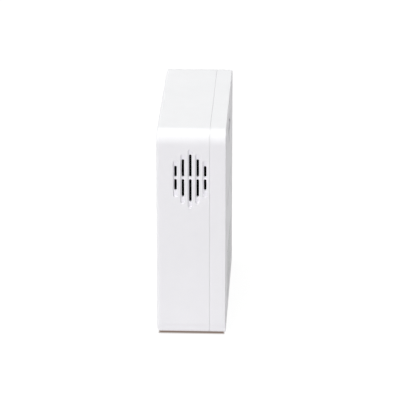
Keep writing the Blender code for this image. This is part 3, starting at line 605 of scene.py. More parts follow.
wire_red = insulation("wire_red", (0.46, 0.03, 0.02))
wire_black = insulation("wire_black", (0.025, 0.025, 0.027))


def make_mesh_finish():
    """Woven filter cloth: two sets of fine threads."""
    made = Finish("filter_mesh", Roughness=0.95, Specular_IOR_Level=0.05)
    threads = [made.wave(part, THREAD_PITCH) for part in made.axes()]
    weave = threads[0] * threads[1] * threads[2]
    color_now = made.mix(weave, (0.0012, 0.0012, 0.0013), (0.006, 0.006, 0.0065))
    return made.set(Base_Color=color_now, Normal=made.bump(weave, 0.05 * MM))


filter_mesh = make_mesh_finish()


def make_board_finish():
    """Solder mask over copper tracks: runs of tracks on a grid, and ground copper between them."""
    made = Finish("board_green", Coat_Weight=0.25, Coat_Roughness=0.2, Roughness=0.38)
    x, _, z = made.axes()
    across, up = (abs(part % TRACK_PITCH - TRACK_PITCH / 2) < TRACK_HALF for part in (x, z))
    choice = made.noise(7 * MM, detail=0) > 0.52
    run = made.noise(11 * MM, detail=1) > 0.44
    track = across.both(choice).either(up.both(1 - choice)).both(run)
    via = abs(x % (2 * TRACK_PITCH) - TRACK_PITCH) + abs(z % (3 * TRACK_PITCH) - TRACK_PITCH) < VIA_REACH
    mask = made.mix(track, (0.012, 0.095, 0.035), (0.03, 0.17, 0.06))
    color_now = made.mix(via, mask, (0.62, 0.58, 0.48))
    return made.set(Base_Color=color_now, Normal=made.bump(track * 0.7 + via, 0.03 * MM))


board_green = make_board_finish()


def clear(name, color, roughness=0.08):
    """Clear plastic, faintly hazy."""
    made = Finish(name, Transmission_Weight=0.85, IOR=1.49)
    haze = made.noise(3 * MM)
    gloss = made.between(haze, *MIDDLE, roughness, roughness + 0.08)
    return made.set(Base_Color=made.mix(haze, tint(color, 0.92), color), Roughness=gloss)


clear_acrylic = clear("clear_acrylic", (0.93, 0.94, 0.95), 0.12)
led_green = clear("led_green", (0.2, 0.75, 0.25))
led_amber = clear("led_amber", (0.85, 0.5, 0.08))
led_red = clear("led_red", (0.78, 0.08, 0.05))


def make_can_finish():
    """Capacitor sleeve with a pale stripe down one side."""
    made = Finish("capacitor_can", Roughness=0.4)
    shrink = made.noise(0.8 * MM)
    stripe = made.axes()[2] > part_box("capacitor_1")[1].z / MM - STRIPE_DEPTH
    color_now = made.mix(stripe, (0.03, 0.035, 0.06), (0.42, 0.43, 0.46))
    return made.set(Base_Color=color_now, Roughness=made.between(shrink, *MIDDLE, 0.32, 0.46))


capacitor_can = make_can_finish()


def make_label_finish():
    """Blank satin label: a printed frame, ruled lines and an empty field."""
    low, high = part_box("rating_label")
    made = Finish("label", Specular_IOR_Level=0.4)
    middle, half = (low + high) / 2, (high - low) / 2 / MM
    x, _, z = made.axes(move=(middle.x, 0, middle.z))
    edge = (abs(x) - (half.x - LABEL_EDGE)).either(abs(z) - (half.z - LABEL_EDGE))
    rules = (abs(z % RULE_PITCH - RULE_PITCH / 2) < RULE_HALF).both(edge < -1.2).both(x < 6)
    field_edge = (abs(x - FIELD_MIDDLE[0]) - FIELD_HALF[0]).either(abs(z - FIELD_MIDDLE[1]) - FIELD_HALF[1])
    ink = (abs(edge) < PRINT_LINE).either(rules).either(abs(field_edge) < PRINT_LINE)
    fibre = made.noise(0.5 * MM, detail=4)
    paper = made.mix(fibre, (0.6, 0.6, 0.61), (0.7, 0.7, 0.71))
    color_now = made.mix(ink, paper, (0.16, 0.16, 0.17))
    return made.set(Base_Color=color_now, Roughness=made.between(fibre, *MIDDLE, 0.42, 0.55),
                    Normal=made.bump(fibre, 0.004 * MM))


label_silver = make_label_finish()


def make_sleeve_finish(name, middle, side):
    """A cell's printed sleeve: a dark body, a pale band at the positive end, and plus and minus signs."""
    made = Finish(name, Coat_Weight=0.3, Coat_Roughness=0.2)
    x, y, z = made.axes(move=middle)
    towards = x * side
    band = towards > BAND_START
    rule = abs(towards - BAND_RULE) < 0.35
    sign_z = abs(z)
    plus_x, minus_x = abs(towards - PLUS_PLACE), abs(towards - MINUS_PLACE)
    plus = (plus_x.both(sign_z) < SIGN_HALF).both(plus_x.either(sign_z) < SIGN_REACH)
    minus = (sign_z < SIGN_HALF).both(minus_x < SIGN_REACH)
    faces_out = y > 0
    foil = made.noise(1.6 * MM)
    body = made.mix(foil, (0.035, 0.05, 0.085), (0.045, 0.065, 0.105))
    banded = made.mix(band.either(rule), body, (0.55, 0.56, 0.58))
    signed = made.mix(plus.both(faces_out), banded, (0.05, 0.05, 0.06))
    color_now = made.mix(minus.both(faces_out), signed, (0.7, 0.7, 0.72))
    return made.set(Base_Color=color_now, Roughness=made.between(foil, *MIDDLE, 0.26, 0.4),
                    Metallic=band * 0.35)


# ---- Front shell ----

def rim_points(radius, rim, end, steps):
    """Profile points of a hole's rounded rim, which opens by the rim's radius up to an end."""
    return [(radius + rim * (1 - math.cos(angle)), end - rim + rim * math.sin(angle))
            for angle in (math.pi / 2 * step / steps for step in range(steps + 1))]


def channel_cutter(y, half):
    """A round-ended groove with a rounded floor edge and a rounded rim, which cuts in from the side."""
    floor = HALF - CHANNEL_DEPTH
    inner = CHANNEL_RADIUS - CHANNEL_FLOOR_ROUND
    profile = [(inner, floor)]
    profile += arc(inner, floor + CHANNEL_FLOOR_ROUND, CHANNEL_FLOOR_ROUND, -67.5, 0, 3)
    profile += rim_points(CHANNEL_RADIUS, CHANNEL_RIM, HALF, 4)
    profile.append((CHANNEL_RADIUS + CHANNEL_RIM, HALF + RUN_OUT))
    cutter = turned("channel", profile, (0, y, GRILLE_Z), "X", 24)
    return stretch(cutter, (0, y, GRILLE_Z), (0, 0, half - CHANNEL_RADIUS))


def slot_cutter(y, z, half):
    """A round-ended slot through the floor of a channel, with a rounded rim."""
    floor = HALF - CHANNEL_DEPTH
    profile = [(SLOT_RADIUS, GRILLE_INSIDE - RUN_OUT), *rim_points(SLOT_RADIUS, SLOT_RIM, floor, 3),
               (SLOT_RADIUS + SLOT_RIM, floor + CHANNEL_DEPTH / 2)]
    cutter = turned("slot", profile, (0, y, z), "X", 20)
    return stretch(cutter, (0, y, z), (0, 0, half - SLOT_RADIUS))


def grille_columns():
    outer = len(GRILLE_LENGTHS) - 1
    for step in range(-outer, outer + 1):
        yield GRILLE_Y + step * GRILLE_PITCH, GRILLE_LENGTHS[abs(step)]


def carve_grille(shell):
    """Thicken the side wall behind the grille, then cut the channels and the slots in their floors."""
    weld(shell, block("pad", (GRILLE_INSIDE, GRILLE_Y - PAD_Y, GRILLE_Z - PAD_Z),
                      (SIDE_INSIDE + ROOT, GRILLE_Y + PAD_Y, GRILLE_Z + PAD_Z)))
    carve(shell, *[channel_cutter(y, length / 2) for y, length in grille_columns()])
    slots = []
    for y, length in grille_columns():
        half = (length / 2 - SLOT_END - SLOT_BRIDGE / 2) / 2
        slots += [slot_cutter(y, GRILLE_Z + side * (SLOT_BRIDGE / 2 + half), half) for side in (-1, 1)]
    carve(shell, *slots)


def rimmed_cutter(name, center, radius, rim, depth, steps=48):
    """A hole in from the front face with a rounded rim."""
    x, z = center
    profile = [(radius + rim, -RUN_OUT)]
    profile += [(radius + rim * (1 - math.sin(angle)), rim * (1 - math.cos(angle)))
                for angle in (math.pi / 2 * step / 4 for step in range(5))]
    return turned(name, [*profile, (radius, depth)], (x, FRONT, z), "Y", steps)


def screw_boss(x, z):
    """A tapered boss with a pilot hole, which a case screw bites into."""
    root, end = FRONT_INSIDE - ROOT, LIP_END - GAP
    outer, pilot = 3.75 * MM, 1.6 * MM
    return turned("boss", [(4.3 * MM, root), (outer, root + 6 * MM), (outer, end - 0.4 * MM),
                           (outer - 0.4 * MM, end), (pilot + 0.3 * MM, end), (pilot, end - 0.5 * MM),
                           (pilot, end - 11 * MM)], (x, 0, z), "Y", 32)


def button_collar():
    """The wall round the button's flange, inside the shell."""
    root, end = FRONT_INSIDE - ROOT, FRONT_INSIDE + 2.4 * MM
    bore = 12.6 * MM
    return turned("collar", [(14.6 * MM, root), (13.9 * MM, end), (bore, end), (bore, root + 0.1 * MM)],
                  (0, 0, BUTTON_Z), "Y", 64)


def button_dish():
    """The cutter for the shallow dish round the button."""
    return turned("dish", [(BUTTON_RING + 0.3 * MM, FRONT - 0.1 * MM), (BUTTON_RING, FRONT),
                           (BUTTON_RING - 0.8 * MM, FRONT + 0.32 * MM),
                           (BUTTON_RADIUS + 0.6 * MM, FRONT + 0.5 * MM)], (0, 0, BUTTON_Z), "Y", 96)


def make_front_shell():
    shell = block("shell", (-HALF, FRONT, 0), (HALF, SHELL_END, HEIGHT))
    round_edges(shell, CORNER_RADIUS, 24, along(1))
    round_edges(shell, FRONT_ROUND, 10, at(1, FRONT))
    round_edges(shell, SEAM_ROUND, 3, at(1, SHELL_END))
    with picked(shell, "FACE", lambda middle, normal: normal.y > 0.999):
        inset(WALL - SEAM_ROUND)
        extrude((0, FRONT_INSIDE - SHELL_END, 0))

    weld(shell, *[screw_boss(x, z) for x, z in CORNERS])
    weld(shell, button_collar())
    carve(shell, button_dish())
    through = WALL + RUN_OUT
    hole = rimmed_cutter("button_hole", (0, BUTTON_Z), BUTTON_RADIUS + GAP, 0.35 * MM, through, 96)
    lights = [rimmed_cutter("light_hole", (step * LIGHT_PITCH, LIGHT_Z), LIGHT_RADIUS + 0.12 * MM, 0.3 * MM,
                            through, 32) for step in (-1, 0, 1)]
    carve(shell, hole, *lights)
    inlets = []
    for index in range(INLET_COUNT):
        z = INLET_Z + (index - (INLET_COUNT - 1) / 2) * INLET_PITCH
        cutter = rimmed_cutter("inlet", (0, z), INLET_SLOT / 2, 0.2 * MM, through, 20)
        inlets.append(stretch(cutter, (0, 0, z), ((INLET_LENGTH - INLET_SLOT) / 2, 0, 0)))
    carve(shell, *inlets)
    carve_grille(shell)
    smooth(shell, 35)
    shell.name = "shell_front"
    dress(shell, shell_white, channel_painted_light)
    # painted light: the faces inside the grille's channels take the whiter channel finish, in place of light
    # reaching into them
    paint(shell, 1, lambda middle: (GRILLE_INSIDE < middle.x < HALF - CHANNEL_RIM / 2
                                    and abs(middle.y - GRILLE_Y) < PAD_Y
                                    and abs(middle.z - GRILLE_Z) < PAD_Z))
    fit(shell, "case", "shell_white", "front_shell")


# ---- Back cover ----

def back_cutter(name, x, z, radius, rim, depth, steps=48):
    """A hole in from the back face with a rounded rim."""
    profile = [(radius, BACK - depth), *rim_points(radius, rim, BACK, 4), (radius + rim, BACK + RUN_OUT)]
    return turned(name, profile, (x, 0, z), "Y", steps)


def recess_cutter(name, low, high, corner, floor):
    """A pocket in from the back face with rounded corners."""
    cutter = block(name, (low[0], floor, low[1]), (high[0], BACK + RUN_OUT, high[1]))
    round_edges(cutter, corner, 6, along(1))
    return cutter


def make_back_cover():
    cover = block("cover", (-HALF, COVER_START, 0), (HALF, BACK, HEIGHT))
    round_edges(cover, CORNER_RADIUS, 24, along(1))
    round_edges(cover, BACK_ROUND, 5, at(1, BACK))
    round_edges(cover, SEAM_ROUND, 3, at(1, COVER_START))
    with picked(cover, "FACE", lambda middle, normal: normal.y < -0.999):
        inset(WALL + GAP - SEAM_ROUND)
        extrude((0, LIP_END - COVER_START, 0))
        inset(LIP_THICKNESS)
        extrude((0, BACK_INSIDE - LIP_END, 0))
    reach = max(GRILLE_LENGTHS) / 2 + PAD_MARGIN + 1 * MM
    carve(cover, block("lip_gap", (SIDE_INSIDE - 4 * LIP_THICKNESS, LIP_END - RUN_OUT, GRILLE_Z - reach),
                       (SIDE_INSIDE, BACK_INSIDE - GAP, GRILLE_Z + reach)))

    root = BACK_INSIDE + ROOT
    weld(cover, *[turned("column", [(4.2 * MM, LIP_END), (4.5 * MM, LIP_END + 0.3 * MM), (4.6 * MM, root)],
                         (x, 0, z), "Y", 32) for x, z in CORNERS])
    notch_x, notch_z = NOTCH_SIZE
    notch_low = DOOR_TOP + GAP
    weld(cover, block("bay_box", (-BAY_HALF - BAY_WALL, BAY_FLOOR - BAY_WALL, BAY_BOTTOM - BAY_WALL),
                      (BAY_HALF + BAY_WALL, root, BAY_TOP + BAY_WALL)))
    frame_wall = 2.7 * MM
    seat = DOOR_INSIDE - GAP
    weld(cover, block("frame_box", (-DOOR_HALF - frame_wall, seat - 2.4 * MM, DOOR_BOTTOM - frame_wall),
                      (DOOR_HALF + frame_wall, root + TINY, DOOR_TOP + frame_wall)))
    weld(cover, block("notch_box", (-notch_x / 2 - BAY_WALL, BACK - NOTCH_DEPTH - BAY_WALL, DOOR_TOP),
                      (notch_x / 2 + BAY_WALL, root + 2 * TINY, notch_low + notch_z + BAY_WALL)))

    carve(cover, recess_cutter("bay", (-BAY_HALF, BAY_BOTTOM), (BAY_HALF, BAY_TOP), 0.8 * MM, BAY_FLOOR))
    end, pocket = DOOR_HALF + GAP, DOOR_HALF + TRUNNION_LENGTH + GAP
    carve(cover, recess_cutter("door_seat", (-end, DOOR_BOTTOM - GAP), (end, DOOR_TOP + GAP), 0.9 * MM, seat))
    barrel, pin = BARREL_RADIUS + GAP, TRUNNION_RADIUS + GAP
    carve(cover, turned("hinge_seat", [(pin, -pocket), (pin, -end), (barrel, -end), (barrel, end), (pin, end),
                                       (pin, pocket)], HINGE, "X", 32))
    notch_floor = BACK - NOTCH_DEPTH
    scoop = recess_cutter("notch", (-notch_x / 2, DOOR_TOP - ROOT), (notch_x / 2, notch_low + notch_z),
                          2.4 * MM, notch_floor)
    round_edges(scoop, 1.6 * MM, 6, at(1, notch_floor))
    carve(cover, scoop)
    tab = Vector((0, 1.8 * MM, 0.5 * MM))
    for name in ("contact_positive", "contact_negative"):
        low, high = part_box(name)
        middle = (low + high) / 2
        middle.x = -BAY_HALF - BAY_WALL / 2
        reach = Vector((BAY_WALL / 2 + ROOT, 0, 0)) + tab
        carve(cover, block("tab_gap", middle - reach, middle + reach))

    sides = (-1, 1)
    through = WALL + RUN_OUT
    carve(cover, *[back_cutter("keyhole", side * KEYHOLE_X, KEYHOLE_Z, KEYHOLE_RADIUS, BACK_RIM, through)
                   for side in sides])
    slots = []
    for side in sides:
        middle = KEYHOLE_Z + KEYHOLE_RISE / 2
        slot = back_cutter("keyhole_slot", side * KEYHOLE_X, middle, KEYHOLE_SLOT, BACK_RIM, through, 32)
        slots.append(stretch(slot, (0, 0, middle), (0, 0, KEYHOLE_RISE / 2)))
    carve(cover, *slots)
    low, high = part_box("rating_label")
    carve(cover, recess_cutter("label_seat", (low.x - GAP, low.z - GAP), (high.x + GAP, high.z + GAP),
                               1.5 * MM, BACK - LABEL_RECESS))
    head = SCREW_SUNK + SCREW_HEAD + GAP
    shank = SCREW_SHANK + GAP
    carve(cover, *[back_cutter("counterbore", x, z, SCREW_HEAD_RADIUS + GAP, BACK_RIM, head, 40)
                   for x, z in CORNERS])
    carve(cover, *[turned("screw_hole", hole_profile(shank, LIP_END, BACK - RUN_OUT), (x, 0, z), "Y", 24)
                   for x, z in CORNERS])
    cover.name = "shell_back"
    finish_piece(cover, shell_white, "shell_white", "back_cover", angle=35)


def make_rating_label():
    low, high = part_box("rating_label")
    label = block("label_plate", low, high)
    round_edges(label, 1.2 * MM, 6, along(1))
    round_edges(label, 0.06 * MM, 2, at(1, high.y))
    finish_piece(label, label_silver, "label", "rating_label")


def screw(name, foot, length, head_radius, head, recess):
    """A self-tapping screw that points to the front: ridged shank, domed head and a cross recess."""
    crest = 0.5 * head_radius
    core = 0.8 * crest
    tip, pitch = 1.5 * MM, 0.9 * MM
    under = length - head
    profile = [(0.35 * crest, 0), (core, tip)]
    for turn in range(int((under - tip - 1 * MM) / pitch)):
        start = tip + turn * pitch
        profile += [(core, start + 0.25 * pitch), (crest, start + 0.5 * pitch), (core, start + 0.75 * pitch)]
    profile += [(core, under), (0.94 * head_radius, under), (head_radius, under + 0.12 * head)]
    profile += [(head_radius * math.cos(angle), under + head * (0.35 + 0.65 * math.sin(angle)))
                for angle in (math.radians(80) * step / 6 for step in range(7))]
    made = turned(name, profile, foot, "Y", 32)
    top = foot.y + length
    wide, narrow = 0.85 * recess, 0.14 * recess
    for x, z in ((wide, narrow), (narrow, wide)):
        carve(made, block("cross", (foot.x - x, top - 0.55 * head, foot.z - z),
                          (foot.x + x, top + RUN_OUT, foot.z + z)))
    return smooth(made, 40)


def make_screws(prefix, head, recess):
    """The four screws of one kind: one is made, and the others are its copies."""
    first = None
    for index in range(1, 5):
        node = f"{prefix}_{index}"
        foot, long, radius = foot_of(node)
        if first is None:
            home = foot
            first = piece = screw(f"{prefix}_made_1", foot, long, radius, head, recess)
        else:
            piece = copied(first, f"{prefix}_made_{index}", foot - home)
        dress(piece, screw_steel)
        fit(piece, "case", "screw_steel", node)


# ---- Test button and lights ----

def make_test_button():
    """A dished key with a ring round its rim, a raised middle, a flange and a stem."""
    low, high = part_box("test_button")
    long = (high.y - low.y) / MM
    flange = (high.y - FRONT_INSIDE - GAP) / MM
    profile = rings((1.8, 0), (2, 0.2), (2, flange - 1.6), (2.6, flange - 1), (11.9, flange - 1),
                    (12, flange - 0.9), (12, flange - 0.1), (11.9, flange), (BUTTON_RADIUS / MM, flange))
    edge = 0.45 * MM
    profile += arc(BUTTON_RADIUS - edge, long * MM - edge, edge, 0, 90, 5)
    groove = rings((9.75, long), (9.6, long - 0.05), (9.5, long - 0.2), (9.3, long - 0.26), (9.1, long - 0.2),
                   (9, long - 0.08), (8.6, long - 0.04))
    dish = rings((7.6, long - 0.14), (6, long - 0.3), (4.4, long - 0.4), (3, long - 0.45), (2.3, long - 0.46))
    pip = rings((2.1, long - 0.42), (1.95, long - 0.25), (1.6, long - 0.17), (1, long - 0.13),
                (0.3, long - 0.12))
    button = turned("button_key", profile + groove + dish + pip, (0, high.y, BUTTON_Z), "-Y", 96)
    finish_piece(button, button_white, "button_white", "test_button", angle=60, body="button")


LAMP_RIM = 0.35 * MM
LAMP_DIP = 0.25 * MM


def make_lights():
    """A clear bar with three domed rods: each carries one lamp's light to the front."""
    low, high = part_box("light_pipe")
    face = FRONT_INSIDE + GAP
    guide = bar("light_guide", (low.x, face, low.z), (high.x, face + 1.2 * MM, high.z), 0.3 * MM, 3)
    crown = 0.5 * MM
    dome = [(LIGHT_RADIUS * math.cos(angle), high.y - low.y - crown * (1 - math.sin(angle)))
            for angle in (math.radians(84) * step / 6 for step in range(7))]
    profile = [(LIGHT_RADIUS - 0.1 * MM, 0), (LIGHT_RADIUS, 0.12 * MM), *dome]
    rods = [turned("light_rod", profile, (step * LIGHT_PITCH, high.y, LIGHT_Z), "-Y", 32)
            for step in (-1, 0, 1)]
    weld(guide, *rods)
    finish_piece(guide, clear_acrylic, "clear_acrylic", "light_pipe")
    for node, slot, finish in (("led_power", "led_green", led_green), ("led_fault", "led_amber", led_amber),
                               ("led_alarm", "led_red", led_red)):
        low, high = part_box(node)
        lamp = bar(f"{node}_lamp", low, high, 0.25 * MM, 3)
        with picked(lamp, "FACE", lambda middle, normal: normal.y < -0.99):
            inset(LAMP_RIM)
            extrude((0, LAMP_DIP, 0))
        finish_piece(lamp, finish, slot, node)


# ---- Battery door, cells and contacts ----

def tongue_slits():
    """Cutters for the two slits beside the door's sprung tongue."""
    reach, half_height = 6.3 * MM, 4.5 * MM
    for side in (-1, 1):
        middle = (side * reach, 0, DOOR_TOP - 4.2 * MM)
        slit = turned("slit", hole_profile(0.3 * MM, DOOR_INSIDE, BACK), middle, "Y", 16)
        yield stretch(slit, middle, (0, 0, half_height))


def finger_grooves():
    """Cutters for the grooves across the tongue."""
    profile = rings((0.15, -4.9), (0.5, -4.5), (0.5, 4.5), (0.15, 4.9))
    for step in range(4):
        yield turned("groove", profile, (0, BACK + 0.15 * MM, DOOR_TOP - (1.6 + 1.5 * step) * MM), "X", 24)


def make_battery_door():
    """A flat door on a round hinge edge, with a sprung tongue, an arrow and a rib inside."""
    door = block("door", (-DOOR_HALF, DOOR_INSIDE, HINGE.z), (DOOR_HALF, BACK, DOOR_TOP))
    round_edges(door, 0.6 * MM, 5, lambda a, b: along(1)(a, b) and a.z > DOOR_TOP - TINY)
    round_edges(door, 0.3 * MM, 4, lambda a, b: at(1, BACK)(a, b) and max(a.z, b.z) > HINGE.z + TINY)
    edge = 0.15 * MM
    weld(door, turned("barrel", [(BARREL_RADIUS - edge, TINY - DOOR_HALF), (BARREL_RADIUS, edge - DOOR_HALF),
                                 (BARREL_RADIUS, DOOR_HALF - edge), (BARREL_RADIUS - edge, DOOR_HALF - TINY)],
                      HINGE, "X", 40))
    reach = DOOR_HALF + TRUNNION_LENGTH
    weld(door, turned("pins", bevelled(TRUNNION_RADIUS, -reach, reach, 0.2 * MM), HINGE, "X", 24))
    middle = (BAY_BOTTOM + BAY_TOP) / 2
    rib_x, rib_y, rib_z = 24 * MM, 2.2 * MM, 0.6 * MM
    weld(door, bar("rib", (-rib_x, DOOR_INSIDE - rib_y, middle - rib_z),
                   (rib_x, DOOR_INSIDE + ROOT, middle + rib_z), 0.25 * MM, 2))
    carve(door, *tongue_slits())
    carve(door, *finger_grooves())
    arrow = 2.4 * MM
    carve(door, turned("arrow", [(arrow, BACK - 0.3 * MM), (arrow, BACK + RUN_OUT)],
                       (0, 0, DOOR_TOP - 14 * MM), "Y", 3))
    door.name = "door_made"
    finish_piece(door, door_white, "door_white", "battery_door", angle=35, body="door")


def make_cells():
    """Two cells: a crimped negative end, a printed sleeve, and a nub at the positive end."""
    for node, side in (("cell_lower", 1), ("cell_upper", -1)):
        low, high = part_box(node)
        middle = (low + high) / 2
        long = (high.x - low.x) / MM
        body = long - 1.3
        base = rings((4.9, 0), (5.1, 0.12), (6.3, 0.12), (6.5, 0.25), (6.9, 0.25), (7.1, 0.32), (7.22, 0.5))
        sleeve = rings((7.25, 0.75), (7.25, body - 0.75), (7.22, body - 0.5), (7.1, body - 0.3),
                       (6.8, body - 0.22), (6.5, body - 0.24))
        nub = rings((6.3, body - 0.5), (3.6, body - 0.5), (3.3, body - 0.35), (3.15, body), (2.9, body + 0.1),
                    (2.75, body + 0.2), (2.75, long - 0.35), (2.6, long - 0.12), (2.3, long))
        start = (low.x if side > 0 else high.x, middle.y, middle.z)
        cell = turned(f"{node}_made", base + sleeve + nub, start, "X" if side > 0 else "-X", 64)
        smooth(cell, 40)
        dress(cell, make_sleeve_finish(f"{node}_sleeve", middle, side), contact_nickel)

        def bare(point):
            """Whether a place is on the metal at an end, past the sleeve."""
            forward = (point.x - middle.x) * side / MM
            off_axis = math.hypot(point.y - middle.y, point.z - middle.z) / MM
            at_end = abs(forward) > long / 2 - 1.4 and off_axis < 6.4
            return at_end or forward > long / 2 - 1.25 or forward < 0.2 - long / 2

        paint(cell, 1, bare)
        fit(cell, "case", "cell_sleeve", node)


def helix(start, length, base, tip, turns):
    """A cone-shaped spring's path along X, with a flat coil at each end."""
    flat, rounds = 0.8, 28
    path = []
    for step in range(turns * rounds + 1):
        turn = step / rounds
        share = min(max((turn - flat) / (turns - 2 * flat), 0), 1)
        radius = base + (tip - base) * turn / turns
        angle = math.tau * turn
        path.append(start + Vector((length * share, radius * math.cos(angle), radius * math.sin(angle))))
    return path


def make_springs():
    thick = 0.35 * MM
    for node, side in (("spring_lower", 1), ("spring_upper", -1)):
        low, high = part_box(node)
        start = Vector((low.x + thick if side > 0 else high.x - thick,
                        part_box("cell_lower")[0].y + CELL_RADIUS, (low.z + high.z) / 2))
        path = helix(start, (high.x - low.x - 2 * thick) * side, 0.6 * CELL_RADIUS, 0.33 * CELL_RADIUS, 5)
        spring = wire(f"{node}_made", path, thick)
        dress(spring, contact_nickel)
        fit(spring, "case", "contact_nickel", node)


def dimple(center, axis):
    """The pressed bump that a cell's nub rests on."""
    return turned("dimple", rings((3, -0.1), (2.6, 0.1), (1.6, 0.2), (0.5, 0.24)), center, axis, 32)


def finish_contact(sheet, node):
    soften(sheet, 0.05 * MM)
    finish_piece(sheet, contact_nickel, "contact_nickel", node)


def make_contacts():
    """Sheet contacts: round corners, a dimple for each cell's nub, and solder tabs with a hole."""
    lower, upper = (sum(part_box(node), Vector()) / 2 for node in ("cell_lower", "cell_upper"))
    y, corner, plate_thick = lower.y, 1.2 * MM, 0.4 * MM
    low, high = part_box("contact_bridge")
    bridge = block("bridge_made", low, high)
    round_edges(bridge, corner, 5, along(0))
    weld(bridge, dimple((low.x, y, lower.z), "-X"))
    middle, slot_y, slot_z = (lower.z + upper.z) / 2, 3.2 * MM, 0.5 * MM
    carve(bridge, block("bridge_slot", (low.x - RUN_OUT, y - slot_y, middle - slot_z),
                        (high.x + RUN_OUT, y + slot_y, middle + slot_z)))
    finish_contact(bridge, "contact_bridge")

    tab_y, tab_z = 1.5 * MM, plate_thick / 2
    for node, z in (("contact_negative", lower.z), ("contact_positive", upper.z)):
        low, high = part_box(node)
        plate = block(f"{node}_made", (high.x - plate_thick, low.y, low.z), high)
        round_edges(plate, corner, 5, along(0))
        tab = block("tab", (low.x, y - tab_y, z - tab_z), (high.x - plate_thick / 2, y + tab_y, z + tab_z))
        round_edges(tab, 0.6 * MM, 4, lambda a, b: along(2)(a, b) and a.x < low.x + TINY)
        weld(plate, tab)
        carve(plate, turned("tab_hole", rings((0.5, -1), (0.5, 1)), (low.x + 1 * MM, y, z), "Z", 16))
        if node == "contact_positive":
            weld(plate, dimple((high.x, y, z), "X"))
        finish_contact(plate, node)


# ---- Electronics ----

def make_circuit_board():
    """A board with four screw holes, and three half holes in one edge where it was snapped from its panel."""
    low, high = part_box("circuit_board")
    board = block("board", low, high)
    round_edges(board, 1.5 * MM, 5, along(1))
    holes = []
    for index in range(4):
        foot = foot_of(f"board_screw_{index + 1}")[0]
        holes.append(turned("hole", hole_profile(1.5 * MM, low.y, high.y), (foot.x, 0, foot.z), "Y", 32))
    for step in (-1, 0, 1):
        z = (low.z + high.z) / 2 + step * 14 * MM
        holes.append(turned("hole", hole_profile(1 * MM, low.y, high.y), (low.x, 0, z), "Y", 20))
    carve(board, *holes)
    soften(board, 0.08 * MM, 1)
    finish_piece(board, board_green, "board_green", "circuit_board")


def chip_legs(center, floor, body_half):
    """Bent legs on all four sides of a chip: each is a shoulder, a knee and a foot."""
    pitch, count, half, thick, rise = 0.8 * MM, 9, 0.17 * MM, 0.15 * MM, 0.6 * MM
    for step in range(count):
        place = (step - count // 2) * pitch
        for side in (-1, 1):
            inner, knee, outer = (side * (body_half + part) for part in (-0.1 * MM, 0.4 * MM, 0.8 * MM))
            for near, far, base, top in ((inner, knee, rise, rise + thick),
                                         (knee - side * 0.12 * MM, knee, 0, rise + thick),
                                         (knee, outer, 0, thick)):
                one, two = sorted((near, far))
                bottom, lid = floor + base, floor + top
                yield block("leg", (center.x + one, bottom, center.z + place - half),
                            (center.x + two, lid, center.z + place + half))
                yield block("leg", (center.x + place - half, bottom, center.z + one),
                            (center.x + place + half, lid, center.z + two))


def make_controller_chip():
    """A moulded package with bevelled sides, a corner dimple and legs."""
    low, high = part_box("controller_chip")
    middle = (low + high) / 2
    half = (high.x - low.x) / 2 - 0.8 * MM
    chip = block("chip", (middle.x - half, low.y + 0.15 * MM, middle.z - half),
                 (middle.x + half, high.y, middle.z + half))
    round_edges(chip, 0.25 * MM, 1, lambda a, b: True)
    inward = half - 1 * MM
    carve(chip, turned("dimple", [(0.3 * MM, high.y - 0.12 * MM), (0.5 * MM, high.y + RUN_OUT)],
                       (middle.x - inward, 0, middle.z + inward), "Y", 20))
    smooth(chip, 30)
    dress(chip, black_plastic)
    pins = dress(joined(list(chip_legs(middle, low.y, half))), contact_nickel)
    joined([chip, pins])
    fit(chip, "case", "black_plastic", "controller_chip")


def make_inductor():
    """A ferrite bobbin with three layers of enamelled wire."""
    foot, long, radius = foot_of("boost_inductor")
    lip, edge = 0.8 * MM, 0.15 * MM
    core = radius - 1.9 * MM
    profile = bevelled(radius, 0, lip, edge) + [(core, lip), (core, long - lip)]
    profile += bevelled(radius, long - lip, long, edge) + [(1 * MM, long), (0.8 * MM, long - 0.3 * MM)]
    bobbin = turned("bobbin", profile, foot, "Y", 40)
    smooth(bobbin, 40)
    dress(bobbin, ferrite)
    thick, rounds, path = 0.22 * MM, 32, []
    wound = long - 2 * lip - 2 * thick
    turns = int(wound / (2.05 * thick))
    for layer in range(3):
        ring = core + (2 * layer + 1) * thick
        for step in range(turns * rounds + 1):
            share = step / (turns * rounds)
            share = 1 - share if layer % 2 else share
            angle = math.tau * (step / rounds + layer * turns)
            path.append(foot + Vector((ring * math.cos(angle), lip + thick + wound * share,
                                       ring * math.sin(angle))))
    coil = dress(wire("coil", path, thick, 1), coil_copper)
    joined([bobbin, coil])
    fit(bobbin, "case", "ferrite", "boost_inductor")


def capacitor(name, foot, long, radius):
    """A sleeved can with a rolled neck and a vent cross in its bare lid."""
    neck, lid = 0.35 * MM, 0.12 * MM
    profile = [(radius - 0.3 * MM, 0), (radius, 0.3 * MM), (radius, 1.3 * MM), (radius - neck, 1.6 * MM),
               (radius - neck, 1.8 * MM), (radius, 2.1 * MM), (radius, long - 0.6 * MM)]
    profile += arc(radius - 0.5 * MM, long - 0.5 * MM, 0.5 * MM, 15, 90, 5)
    profile += [(radius - 0.8 * MM, long), (radius - 0.9 * MM, long - lid), (0.4 * MM, long - lid)]
    can = turned(name, profile, foot, "Y", 40)
    top = foot.y + long
    arm, groove = 1.7 * MM, 0.09 * MM
    for x, z in ((arm, groove), (groove, arm)):
        carve(can, block("vent", (foot.x - x, top - 0.3 * MM, foot.z - z),
                         (foot.x + x, top + RUN_OUT, foot.z + z)))
    smooth(can, 35)
    dress(can, capacitor_can, contact_nickel)
    paint(can, 1, lambda point: (point.y > top - 0.5 * MM
                                 and math.hypot(point.x - foot.x, point.z - foot.z) < radius - 0.7 * MM))
    return can


